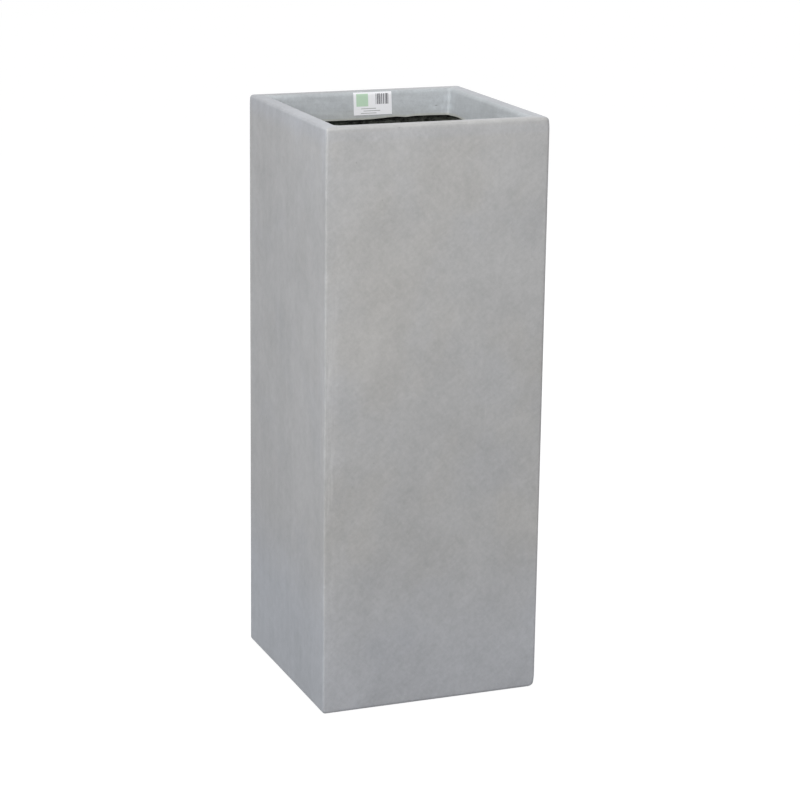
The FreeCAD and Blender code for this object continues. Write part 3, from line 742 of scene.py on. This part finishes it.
# painted shade: the pit is darkened for the shade inside it
shade -= pit * 0.55
cut_edge = (z - coat.noted("stray")).between(TRIM + 0.0042, TRIM + 0.0022)
low_back = z.between(0.781, 0.764) * coat.spot(place, (0.0, HALF_Y, 0.77), (0.17, 0.05, 0.05))
tint = coat.mix((cut_edge * 0.7).larger(low_back * 0.6) * in_mouth, tint, BEIGE)
print("filler at z = %.3f" % SEAM)

# %% [markdown]
# Relief follows the same patterns: the grain stands up a little, strokes and hairlines are
# cut in, and a few pinholes are left where air was caught. The relief is finer than a mesh
# could hold, so it goes into the shading normal. The coat stays matt, with a slight sheen
# where it was rubbed.

# %% Relief, sheen and the finished coat
bubbles = coat.node("ShaderNodeTexVoronoi", inputs={"Vector": place, "Scale": 55.0})
chosen = coat.cloud(place, (0.03, 0.03, 0.03), detail=1.0).between(0.60, 0.64)
pinholes = bubbles.between(0.060, 0.035) * chosen
relief = grain * 0.5 + hatching * 0.9 - scratched * 0.2 - pinholes * 2.0 + smear * in_mouth * 1.5
# painted shade: the pinholes are darkened for the shade inside them
colour = coat.vector("SCALE", tint, Scale=shade - pinholes * 0.22)
coat.surface(Base_Color=colour, Roughness=0.78 - lip * 0.1 + grain * 0.08,
             Specular_IOR_Level=0.32, Normal=coat.bump(relief, 0.5, 0.0004))
print("the coat has", len(coat.tree.nodes), "nodes")

# %% [markdown]
# ## Walls and base in stone coat
# This is the piece that shows most. Its section is followed all the way round: out from the
# drain hole under the base, over the foot rim, round the bottom edge, up the outside, over
# the top and down the inside. The rings on the outer face are close together, so that a chip
# a few millimetres long still has its own points.

# %% The wall section
WALL_STEP = 0.0026                   # height between rings on the outer face
NICKS = ((0.611, 0.003), (0.606, 0.0036), (0.600, 0.004), (0.593, 0.003))  # height, radius


def wall_rings():
    rings = [round_ring(DRAIN, RECESS)]
    rings += [plan_ring(inset, BEND, RECESS) for inset in (0.11, 0.07, FOOT_RIM + 0.002)]
    rings.append(plan_ring(FOOT_RIM, ARRIS, RECESS))
    for angle in arc(0, 90, 4):
        inset = FOOT_RIM - FOOT_EDGE * (1 - math.cos(angle))
        rings.append(plan_ring(inset, ARRIS, FOOT_EDGE * (1 - math.sin(angle))))
    for angle in arc(0, 90, 9):
        rings.append(outer_ring(ARRIS * (1 - math.sin(angle)), ARRIS * (1 - math.cos(angle))))
    heights = steps(ARRIS, SEAM, round((SEAM - ARRIS) / WALL_STEP))
    rings += [outer_ring(0, height) for height in heights]
    rings += [plan_ring(COAT, ARRIS - COAT, height) for height in (SEAM, 0.6, 0.4, 0.2, BASE_TOP)]
    rings += [plan_ring(inset, BEND, BASE_TOP) for inset in (0.05, 0.11)]
    return np.array(rings + [round_ring(DRAIN, BASE_TOP)])


near_nicks = [((NICK - HALF_X, NICK - HALF_Y, height), radius) for height, radius in NICKS]
wall, wear = weather(wall_rings(), near_nicks + edge_chips(9, 4, 0.02, SEAM - 0.01))
build_piece("walls_stone_coat", [wall], coat, ["outer_shell"],
            notes={"worn": wear, "stray": wear * 0})

# %% [markdown]
# ## Rim and collar
# The rim is a hollow cap with the collar hanging from its inner edge. Its section runs up
# the outer face, over the round arris, across the flat, down the soft inner edge and the
# leaning collar, and back behind. The lower edge was trimmed by hand with a knife. It
# strays by up to two millimetres, and has a small run of resin that hardened before it fell.

# %% The rim section
TRIM_BEVEL = 0.0005


def leaning(depth):
    """Inset of the collar's face at a depth below the rim's top."""
    return RIM_WIDTH + COLLAR_LEAN * depth / COLLAR_DEPTH


def rim_rings():
    rings = [outer_ring(0, height) for height in (SEAM, SEAM + 0.0025)]
    for angle in arc(0, 90, 9):
        height = HEIGHT - TOP_ARRIS * (1 - math.sin(angle))
        rings.append(outer_ring(TOP_ARRIS * (1 - math.cos(angle)), height))
    rings.append(plan_ring(0.012, 0.005, HEIGHT))
    slope = COLLAR_LEAN / COLLAR_DEPTH
    centre = RIM_WIDTH - MOUTH_EDGE * (math.sqrt(1 + slope ** 2) - slope)
    for angle in arc(90, math.degrees(math.atan(slope)), 8):
        corner = MOUTH_CORNER + MOUTH_EDGE * (1 - math.cos(angle))
        height = HEIGHT - MOUTH_EDGE * (1 - math.sin(angle))
        rings.append(plan_ring(centre + MOUTH_EDGE * math.cos(angle), corner, height))
    for depth in steps(MOUTH_EDGE, COLLAR_DEPTH - TRIM_BEVEL, 16):
        rings.append(plan_ring(leaning(depth), MOUTH_CORNER, HEIGHT - depth))
    bevel = leaning(COLLAR_DEPTH) - TRIM_BEVEL
    rings.append(plan_ring(bevel, MOUTH_CORNER + TRIM_BEVEL, HEIGHT - COLLAR_DEPTH))
    for depth in [COLLAR_DEPTH] + steps(COLLAR_DEPTH, COAT, 6):
        rings.append(plan_ring(leaning(depth) - COAT, MOUTH_CORNER + COAT, HEIGHT - depth))
    rings += [plan_ring(COAT, ARRIS - COAT, height) for height in (HEIGHT - COAT, SEAM)]
    return np.array(rings)


print("the rim has", len(rim_rings()), "rings")

# %% [markdown]
# The stray of the trimmed edge is two slow waves on each side, as in the model, with the
# small steps of a knife on top. It moves the lowest part of the collar and fades out above.
# The mesh notes it, so that the beige line in the finish follows the edge.

# %% Trim the collar
STRAY = 0.0018                       # how far the two waves of a side reach together
LOOSE = 0.018                        # this far below the top the stray begins
# where the longer and the shorter wave of each side start
WAVES = {(0, -1): (0.4, 0.9), (0, 1): (5.37, 3.7), (-1, 0): (1.7, 3.9), (1, 0): (4.75, 5.84)}
RUN_PLACE, RUN_WIDTH, RUN_LENGTH = 0.066, 0.0022, 0.0015


def stray(ring):
    """How far the trimmed edge strays from level at each point of a ring."""
    result = np.zeros(len(ring))
    for i, (x, y, _) in enumerate(ring):
        side = (0, math.copysign(1, y)) if abs(x) < abs(y) else (math.copysign(1, x), 0)
        along = x if side[0] == 0 else y
        calm = min(1, 4 * (1 - abs(along) / (HALF_X - RIM_WIDTH)))
        slow, quick = WAVES[side]
        waves = 0.72 * math.sin(31 * along + slow) + 0.28 * math.sin(83 * along + quick)
        result[i] = STRAY * waves * max(calm, 0)
        if side == (0, 1):
            result[i] -= RUN_LENGTH * math.exp(-((along - RUN_PLACE) / RUN_WIDTH) ** 2)
    flat = ring * (1, 1, 0)
    return result + 0.0003 * swell(flat, 0.008, 12) + 0.0004 * swell(flat, 0.03, 13)


section = rim_rings()
hanging = np.clip((HEIGHT - LOOSE - section[..., 2]) / (COLLAR_DEPTH - LOOSE), 0, 1)
inner = np.minimum(HALF_X - np.abs(section[..., 0]), HALF_Y - np.abs(section[..., 1])) > 0.012
strays = inner * np.array([stray(ring) for ring in section])
section[..., 2] += hanging ** 3 * strays
rim, wear = weather(section, edge_chips(2, 4, SEAM + 0.002, HEIGHT - 0.004))
build_piece("rim_stone_coat", [rim], coat, ["rim_collar"],
            notes={"worn": wear, "stray": strays})

# %% [markdown]
# ## The black laminate
# Glass mat is a felt of chopped strands. Soaked in black resin it dries nearly black, with
# the strands showing as dull grey-green threads that cross at all angles. Where they lie
# just under the surface they catch the light, and their grey is painted paler than the glass
# alone, as painted glints and painted light that falls in through the mouth. The threads are
# thin noise again, in five directions, each kept only at its peaks. A band of the walls a
# little below the collar is painted paler still: painted light that reaches in below the
# collar's shadow.

# %% Laminate finish
RESIN = (0.015, 0.0155, 0.013, 1)
# the threads' own grey, made paler as painted glints and painted light inside the planter
GLASS_THREAD_AND_GLINT = (0.16, 0.168, 0.14, 1)
# painted light on the laminate below the collar's shadow
LAMINATE_PAINTED_LIGHT = (0.40, 0.42, 0.36, 1)

laminate = Finish("glass_laminate")
place, z, _, _, _, unrolled = unroll(laminate)
threads = 0.0
for slant in (8, 47, 83, 121, 156):
    layer = laminate.cloud(unrolled, (0.0009, 0.002, 0.034), (0, math.radians(slant), 0), 2.0, 0.4)
    threads = layer.between(0.56, 0.66) * 0.5 + threads
wetness = laminate.cloud(place, (0.05, 0.05, 0.06), detail=4.0, rough=0.6).between(0.40, 0.62)
lumps = laminate.cloud(unrolled, (0.006, 0.01, 0.007), detail=4.0, rough=0.6)
threads = threads.smaller(1.0) * (0.35 + 0.65 * wetness)
colour = laminate.mix(threads * 0.75, RESIN, GLASS_THREAD_AND_GLINT)
painted_light_noise = laminate.cloud(place, (0.012, 0.012, 0.005), detail=4.0, rough=0.65)
# painted light: a paler band below the collar's shadow, where light reaches in through the mouth
pale_mask = z.between(0.7620, 0.7535) * z.between(0.70, 0.74) * painted_light_noise.between(0.34, 0.62)
colour = laminate.mix(pale_mask * 0.55, colour, LAMINATE_PAINTED_LIGHT)
colour = laminate.vector("SCALE", colour, Scale=0.7 + lumps * 0.6)
laminate.surface(Base_Color=colour, Roughness=0.30 + wetness * 0.28,
                 Normal=laminate.bump(threads * 0.5 + lumps, 0.8, 0.0012))
print("the laminate has", len(laminate.tree.nodes), "nodes")

# %% [markdown]
# ## Mats on the walls
# A mat is a sheet: the ring at each height runs along its back, against the coat, and comes
# home along its face. The back is straight. The face is uneven, because the roller that
# presses out the air leaves thick and thin places, so each of its points is drawn towards
# the wall by some noise.

# %% Wall mats
MAT_STEP = 0.006                     # height between rings
LUMP, DIMPLE = 0.035, 0.009          # how wide the roller's uneven places are
TORN, TORN_FINE = 0.03, 0.007        # and the tongues of a torn edge


def sheet(back, face, heights, seed, frayed=0.0):
    """Rings from a back line to a face line, N x 2 each; its two ends fray by a length."""
    edge = np.concatenate([back, face[::-1]])
    middle = np.concatenate([(back + face) / 2, (back + face)[::-1] / 2])
    flat = np.column_stack([middle, np.zeros(len(middle))])
    torn = swell(flat, TORN, seed + 9)
    fray = [frayed * np.abs(swell(flat, TORN_FINE, seed + i) + torn) for i in (0, 1)]
    rings = []
    for height in heights:
        share = (height - heights[0]) / (heights[-1] - heights[0])
        pulled = height + (1 - share) ** 12 * fray[0] - share ** 12 * fray[1]
        ring = np.column_stack([edge, pulled])
        thin = 0.22 * (1 + swell(ring, LUMP, seed)) + 0.12 * (1 + swell(ring, DIMPLE, seed + 1))
        thin += 0.5 * (frayed > 0 and share in (0, 1))
        half = len(back)
        ring[half:, :2] += (back - face)[::-1] * np.clip(thin, 0, 0.9)[half:, None]
        rings.append(ring)
    return np.array(rings)


def wall_line(reach, out, end_round, count=52):
    """Points along a wall, and how far out each lies; round ends follow the coat's corner."""
    u = np.linspace(-reach, reach, count)
    near = np.clip(end_round - (reach - np.abs(u)), 0, end_round)
    return u, out - np.minimum(end_round - np.sqrt(end_round ** 2 - near ** 2), MAT * 0.95)


INNER_X, INNER_Y = HALF_X - COAT, HALF_Y - COAT
SOFFIT = HEIGHT - COAT               # the underside of the rim
mat_heights = [BASE_TOP] + steps(BASE_TOP, SOFFIT, round((SOFFIT - BASE_TOP) / MAT_STEP))
for side, sign, seed in (("front", -1, 20), ("back", 1, 21), ("left", -1, 30), ("right", 1, 31)):
    if side in ("front", "back"):
        u, out = wall_line(INNER_X, INNER_Y, ARRIS - COAT)
        face_out, order = INNER_Y - MAT, (0, 1)
    else:
        u, out = wall_line(INNER_Y - MAT, INNER_X, 0)
        face_out, order = INNER_X - MAT, (1, 0)
    back, face = [np.column_stack([u, sign * line])[:, order] for line in (out, u * 0 + face_out)]
    build_piece(side + "_mat", [sheet(back, face, mat_heights, seed)],
                laminate, [side + "_glass_mat"], closed=False)

# %% [markdown]
# The tapes bridge the corners where two mats meet. Cut from the same glass, they lie in an
# angle with a soft inner bend. Torn glass frays, so their ends are ragged and thin out into
# the mat below.

# %% Corner tapes
TAPE_LEG = 0.045
TAPE_ROWS = 112
TAPE_FRAY = 0.004                    # how far its ends are torn back
TAPES = (("front_left", -1, -1), ("front_right", 1, -1), ("back_left", -1, 1), ("back_right", 1, 1))
tape_low, tape_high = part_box("corner_tape_front_left")
tape_heights = [tape_low.z] + steps(tape_low.z, tape_high.z, TAPE_ROWS)


def tape_lines(sx, sy):
    """The back and the face of an angle of tape, from one leg's end to the other's."""
    corner = np.array((HALF_X - COAT - MAT, HALF_Y - COAT - MAT))
    centre = corner - BEND - TAPE
    back, face = [], []
    reaches = [TAPE_LEG] + steps(TAPE_LEG, BEND + TAPE, 9)[:-1]
    for reach in reaches:
        back.append(corner - (0, reach))
        face.append(corner - (TAPE, reach))
    for angle in arc(0, 90, 8):
        way = np.array((math.cos(angle), math.sin(angle)))
        back.append(centre + (BEND + TAPE) * way / way.max())
        face.append(centre + BEND * way)
    for reach in reaches[::-1]:
        back.append(corner - (reach, 0))
        face.append(corner - (reach, TAPE))
    return np.array(back) * (sx, sy), np.array(face) * (sx, sy)


for number, (name, sx, sy) in enumerate(TAPES):
    rings = sheet(*tape_lines(sx, sy), tape_heights, 40 + number, TAPE_FRAY)
    build_piece("tape_" + name, [rings], laminate, ["corner_tape_" + name],
                closed=False)

# %% [markdown]
# ## Mats on the floor and behind the rim
# These two are closed sections, followed like that of the coat. Two helpers make them as
# uneven as the sheets: one draws the points of both faces into the mat by some noise, and
# one pulls a cut edge back to a torn line.

# %% Rough faces and frayed edges
def rough_face(rings, seed, deepest):
    """Draw the points of closed rings into the sheet by some noise."""
    lumps, dimples = swell(rings, LUMP, seed), swell(rings, DIMPLE, seed + 1)
    depth = deepest * (0.6 * (1 + lumps) + 0.4 * (1 + dimples)) / 2
    return rings - outward(rings) * depth[..., None]


def frayed_edge(rings, which, seed, reach, direction):
    """Pull some rings of an edge back by uneven amounts, up (1) or down (-1)."""
    for i in which:
        flat = rings[i] * (1, 1, 0)
        uneven = swell(flat, TORN_FINE, seed) + swell(flat, TORN, seed + 1)
        rings[i][:, 2] += direction * reach * np.abs(uneven)


print("lumps %.0f mm wide, torn tongues %.0f mm" % (LUMP * 1000, TORN * 1000))

# %% [markdown]
# The floor mat is a tray with a hole for the drain. Its section runs out under the mat, up
# the wall, over the torn edge, down the inner face with its tight bend, and in to the hole.

# %% Floor mat
WALL_LINE = COAT + MAT               # inset of the wall mats' face
TAPE_LINE = WALL_LINE + TAPE         # and of a tape's
TURN_UP = floor_high.z
FLOOR_TOP = BASE_TOP + MAT
FLOOR_BEND = BEND / 2
THIN_OUT = 0.004                     # a torn edge thins out over this height
TORN_CORNER = 0.001                  # corner radius along the middle of a torn edge


def tray_rings():
    rings = [round_ring(DRAIN, BASE_TOP)]
    rings += [plan_ring(inset, BEND, BASE_TOP) for inset in (0.11, 0.05)]
    rings += [plan_ring(WALL_LINE, 0, height) for height in (BASE_TOP, 0.035, TURN_UP)]
    rings.append(plan_ring(WALL_LINE + TAPE / 4, TORN_CORNER, TURN_UP))
    start = TURN_UP - THIN_OUT
    heights = [start] + steps(start, FLOOR_TOP + FLOOR_BEND, 7)
    rings += [plan_ring(TAPE_LINE, BEND, height) for height in heights]
    for angle in arc(0, 90, 4)[1:]:
        inset = TAPE_LINE + FLOOR_BEND * (1 - math.cos(angle))
        rings.append(plan_ring(inset, BEND, FLOOR_TOP + FLOOR_BEND * (1 - math.sin(angle))))
    rings += [plan_ring(inset, BEND, FLOOR_TOP) for inset in steps(0.012, 0.135, 24)[:-2]]
    return np.array(rings + [round_ring(radius, FLOOR_TOP) for radius in (DRAIN + 0.009, DRAIN)])


tray = tray_rings()
frayed_edge(tray, (5, 6), 61, 0.004, -1)
build_piece("floor_mat", [rough_face(tray, 60, 0.0006)], laminate,
            ["floor_glass_mat"])

# %% [markdown]
# The mat behind the rim joins it to the walls. It runs up the walls, under the rim and down
# the back of the collar, where it stops short of the trimmed edge. Only its foot is torn.

# %% Mat behind the rim
RIM_MAT_FOOT = joint_low.z
RIM_MAT_END = COLLAR_DEPTH - 0.0066  # it stops short of the collar's edge


def rim_mat_rings():
    heights = [RIM_MAT_FOOT] + steps(RIM_MAT_FOOT, SOFFIT, 6)
    rings = [plan_ring(WALL_LINE, 0, height) for height in heights]
    inset, corner = leaning(COAT) - COAT, MOUTH_CORNER + COAT
    rings.append(plan_ring(inset, corner, SOFFIT))
    depths = steps(COAT, RIM_MAT_END, 6)
    rings += [plan_ring(leaning(depth) - COAT, corner, HEIGHT - depth) for depth in depths]
    rings += [plan_ring(leaning(depth) - COAT - TAPE, corner + TAPE, HEIGHT - depth)
              for depth in depths[::-1]]
    start = SOFFIT - TAPE
    rings.append(plan_ring(inset - TAPE, corner + TAPE, start))
    heights = [start] + steps(start, RIM_MAT_FOOT + THIN_OUT, 7)
    rings += [plan_ring(TAPE_LINE, BEND, height) for height in heights]
    return np.array(rings + [plan_ring(WALL_LINE + TAPE / 4, TORN_CORNER, RIM_MAT_FOOT)])


joint = rim_mat_rings()
frayed_edge(joint, (0, -1), 71, 0.005, 1)
build_piece("rim_mat", [rough_face(joint, 70, 0.0005)], laminate,
            ["rim_joint_mat"])

# %% [markdown]
# ## Threads on the trimmed edge
# The knife leaves a few glass threads hanging from the collar's edge, stiff with resin. Each
# is a thin tube that narrows to its tip. The three that show stand at the back, where the
# photograph has them, and the others are spread round the edge at random.

# %% Hanging threads
THREAD_RADIUS = 0.00022              # at its root, from where it narrows
THREAD_ROOT = 0.0012                 # it starts this far up, and behind the collar's face
THREADS_AT_RANDOM = 13
FIBRE_DARK, FIBRE_PALE = (0.10, 0.10, 0.08, 1), (0.34, 0.33, 0.27, 1)


def circle(sides):
    """Angles all the way round, in equal steps."""
    return arc(0, 360 - 360 / sides, sides - 1)


def thread(x, y, length, lean, seed):
    """A tapering tube that hangs from the collar's edge."""
    dice = random.Random(seed)
    top = Vector((x, y, HEIGHT - COLLAR_DEPTH + THREAD_ROOT))
    bend = Vector((dice.uniform(-1, 1), dice.uniform(-1, 1), 0)) * 0.25
    rings = []
    for step in range(9):
        share = step / 8
        radius = THREAD_RADIUS * (1 - 0.8 * share)
        middle = top + Vector(lean) * share * length + bend * share ** 2 * length
        middle = middle + Vector((0, 0, -share * length))
        rings.append([middle + radius * Vector((math.cos(a), math.sin(a), 0)) for a in circle(8)])
    return np.array(rings)


edge_line = HALF_X - leaning(COLLAR_DEPTH) + THREAD_ROOT
threads = [thread(0.060, edge_line, 0.0050, (0.5, -0.1, 0), 1),
           thread(0.0935, edge_line, 0.0062, (-0.4, -0.1, 0), 2),
           thread(0.0965, edge_line, 0.0035, (0.6, -0.1, 0), 3)]
dice = random.Random(5)
for _ in range(THREADS_AT_RANDOM):
    along, out = dice.uniform(-0.11, 0.11), edge_line * dice.choice((-1, 1))
    x, y = (along, out) if dice.random() < 0.5 else (out, along)
    length = dice.uniform(0.002, 0.005)
    lean = (dice.uniform(-0.6, 0.6), dice.uniform(-0.6, 0.6), 0)
    threads.append(thread(x, y, length, lean, dice.random()))

fibre = Finish("fibre")
strand = fibre.cloud(fibre.node("ShaderNodeTexCoord", output="Object"), (0.002, 0.002, 0.003))
fibre.surface(Base_Color=fibre.mix(strand, FIBRE_DARK, FIBRE_PALE), Roughness=0.45 + strand * 0.1)
build_piece("collar_edge_threads", threads, fibre, [], closed=False)

# %% [markdown]
# ## Drain plug
# The plug is turned in section: a tapered stem in the drain, a flat head on the floor and a
# grip like a small mushroom. Moulded rubber is black, a little uneven and always a bit dusty
# on the faces that look up. It moves, so it rides on its own body.

# %% Turn the plug
PLUG_SIDES = 64
stem_low, grip_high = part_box("drain_plug")
HEAD, NECK, GRIP, PLUG_EDGE = 0.020, 0.005, 0.008, 0.0012  # three radii and a rounding
STEM = DRAIN - 0.00025               # a little play in the drain
HEAD_TOP = FLOOR_TOP + 0.004
GRIP_FOOT = grip_high.z - 2 * PLUG_EDGE - 0.002


def rounded(radius, height, start, end):
    """The rounding of a turned edge, from one angle to another about its centre."""
    centre = radius - PLUG_EDGE
    return [(centre + PLUG_EDGE * math.cos(a), height + PLUG_EDGE * math.sin(a))
            for a in arc(start, end, 5)]


# radius and height of every turn of the profile, from the stem's foot to the grip's top
profile = [(0.004, stem_low.z), (0.0105, stem_low.z), (STEM - 0.0015, stem_low.z + 0.0006),
           (STEM, RECESS), (STEM, FLOOR_TOP), (HEAD, FLOOR_TOP)]
profile += rounded(HEAD, HEAD_TOP - PLUG_EDGE, 0, 90)
profile += [(0.012, HEAD_TOP), (NECK + PLUG_EDGE, HEAD_TOP), (NECK, HEAD_TOP + 0.001),
            (NECK, GRIP_FOOT)]
profile += rounded(GRIP, GRIP_FOOT + PLUG_EDGE, -90, 0)
profile += rounded(GRIP, grip_high.z - PLUG_EDGE, 0, 90)
profile += [(0.003, grip_high.z - 0.0002)]
turned = np.array([[(radius * math.cos(a), radius * math.sin(a), height)
                    for a in circle(PLUG_SIDES)] for radius, height in profile])
print("the profile has", len(profile), "points")

# %% [markdown]
# The rubber's dust needs to know which way a face looks. The Normal output of the Texture
# Coordinate node says so, and its third number is 1 on a face that looks straight up.

# %% Rubber
RUBBER, PLUG_DUST = (0.014, 0.014, 0.015, 1), (0.16, 0.155, 0.145, 1)
rubber = Finish("plug_rubber")
place = rubber.node("ShaderNodeTexCoord", output="Object")
facing_up = rubber.parts(rubber.node("ShaderNodeTexCoord", output="Normal"))[2]
speckle = rubber.cloud(place, (0.0012, 0.0012, 0.0012), rough=0.7)
smudge = rubber.cloud(place, (0.009, 0.009, 0.009), detail=4.0)
pale_mask = facing_up.between(0.2, 0.9) * smudge.between(0.42, 0.62) * (0.4 + speckle * 0.6)
rubber.surface(Base_Color=rubber.mix(pale_mask * 0.7, RUBBER, PLUG_DUST),
               Roughness=0.46 + pale_mask * 0.3 + smudge * 0.1,
               Normal=rubber.bump(speckle, 0.4, 0.0003))
build_piece("rubber_plug", [turned], rubber, ["drain_plug"], body="plug",
            closed=False)

# %% [markdown]
# ## Paper label
# A strip of gloss paper sticks to the back of the collar and curls over the rim's soft edge.
# It follows the collar's lean, and its back is sunk a little into the coat, so that no gap
# shows where the coat dips. What is printed on it is plain: a pale green block, a row of
# dark upright bars and three thin grey rules.

# %% Lay the label
LABEL_HEIGHT, LABEL_CURL, PAPER = 0.032, 0.0046, 0.0003
LABEL_ACROSS, LABEL_DOWN = 64, 36    # steps of its mesh
SUNK = SWELL * 0.4
label_low, label_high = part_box("paper_label")
tilt = math.atan(COLLAR_LEAN / COLLAR_DEPTH)
edge_centre = np.array((HALF_Y - RIM_WIDTH + MOUTH_EDGE * (1 / math.cos(tilt) - math.tan(tilt)),
                        HEIGHT - MOUTH_EDGE))


def label_point(down, lift):
    """Y and Z of a place on the label, some way down it and lifted off the collar."""
    angle = math.pi - tilt
    if down < LABEL_CURL:
        angle = angle - (LABEL_CURL - down) / MOUTH_EDGE
    away = np.array((math.cos(angle), math.sin(angle)))
    straight = np.array((-math.sin(tilt), -math.cos(tilt))) * max(down - LABEL_CURL, 0)
    return edge_centre + away * (MOUTH_EDGE + lift) + straight


shares = np.linspace(0, 1, LABEL_ACROSS + 1)
there_and_back = np.concatenate([shares, shares[::-1]])
widths = label_low.x + there_and_back * (label_high.x - label_low.x)
downs = [LABEL_HEIGHT * row / LABEL_DOWN for row in range(LABEL_DOWN + 1)]
label_rings = np.array([
    np.column_stack([widths, np.repeat([label_point(down, -SUNK), label_point(down, PAPER)],
                                       LABEL_ACROSS + 1, axis=0)]) for down in downs])
label_notes = {"across": np.tile(there_and_back, (len(downs), 1)),
               "down": np.repeat(downs, len(widths)) / LABEL_HEIGHT}
print("label", label_rings.shape)

# %% [markdown]
# The print is drawn from two notes of the mesh, the share across and the share down. A bar
# is where a noise that changes only across is high, which gives uneven widths.

# %% Print the label
PAPER_WHITE = (0.95, 0.953, 0.985, 1)
SWATCH = (0.44, 0.68, 0.45, 1)
INK = (0.075, 0.075, 0.09, 1)
GREY_INK = (0.26, 0.27, 0.27, 1)
BAR_SCALE = 44                       # features of the bars' noise across the label
RULES = ((0.72, 0.19, 0.58), (0.82, 0.25, 0.69), (0.92, 0.18, 0.59))  # share down, start, end
RULE_HALF = 0.012

paper = Finish("label_paper")
place = paper.node("ShaderNodeTexCoord", output="Object")
across, down = paper.noted("across"), paper.noted("down")


def within(value, low, high, soft=0.006):
    """1 between two values, with soft borders."""
    return value.between(low - soft, low + soft) * value.between(high + soft, high - soft)


coarse = paper.node("ShaderNodeTexNoise", {"noise_dimensions": "1D"},
                    {"W": across * BAR_SCALE, "Scale": 1.0, "Detail": 0.6})
bars = coarse.between(0.47, 0.50) * within(across, 0.575, 0.925) * within(down, 0.08, 0.54)
rules = 0.0
for height, start, end in RULES:
    rule = within(down, height - RULE_HALF, height + RULE_HALF, 0.01)
    rules = rule * within(across, start, end) + rules
swatch = within(across, 0.07, 0.38) * within(down, 0.07, 0.62)
stain = paper.cloud(place, (0.006, 0.006, 0.006), detail=4.0)
colour = paper.mix(swatch * 0.8, PAPER_WHITE, SWATCH)
colour = paper.mix(bars * 0.95, colour, INK)
colour = paper.mix(rules, colour, GREY_INK)
colour = paper.vector("SCALE", colour, Scale=0.97 + stain * 0.06)
paper.surface(Base_Color=colour, Roughness=0.38 + stain * 0.1,
              Normal=paper.bump(stain, 0.3, 0.0002))
build_piece("label", [label_rings], paper, ["paper_label"], closed=False,
            notes=label_notes)
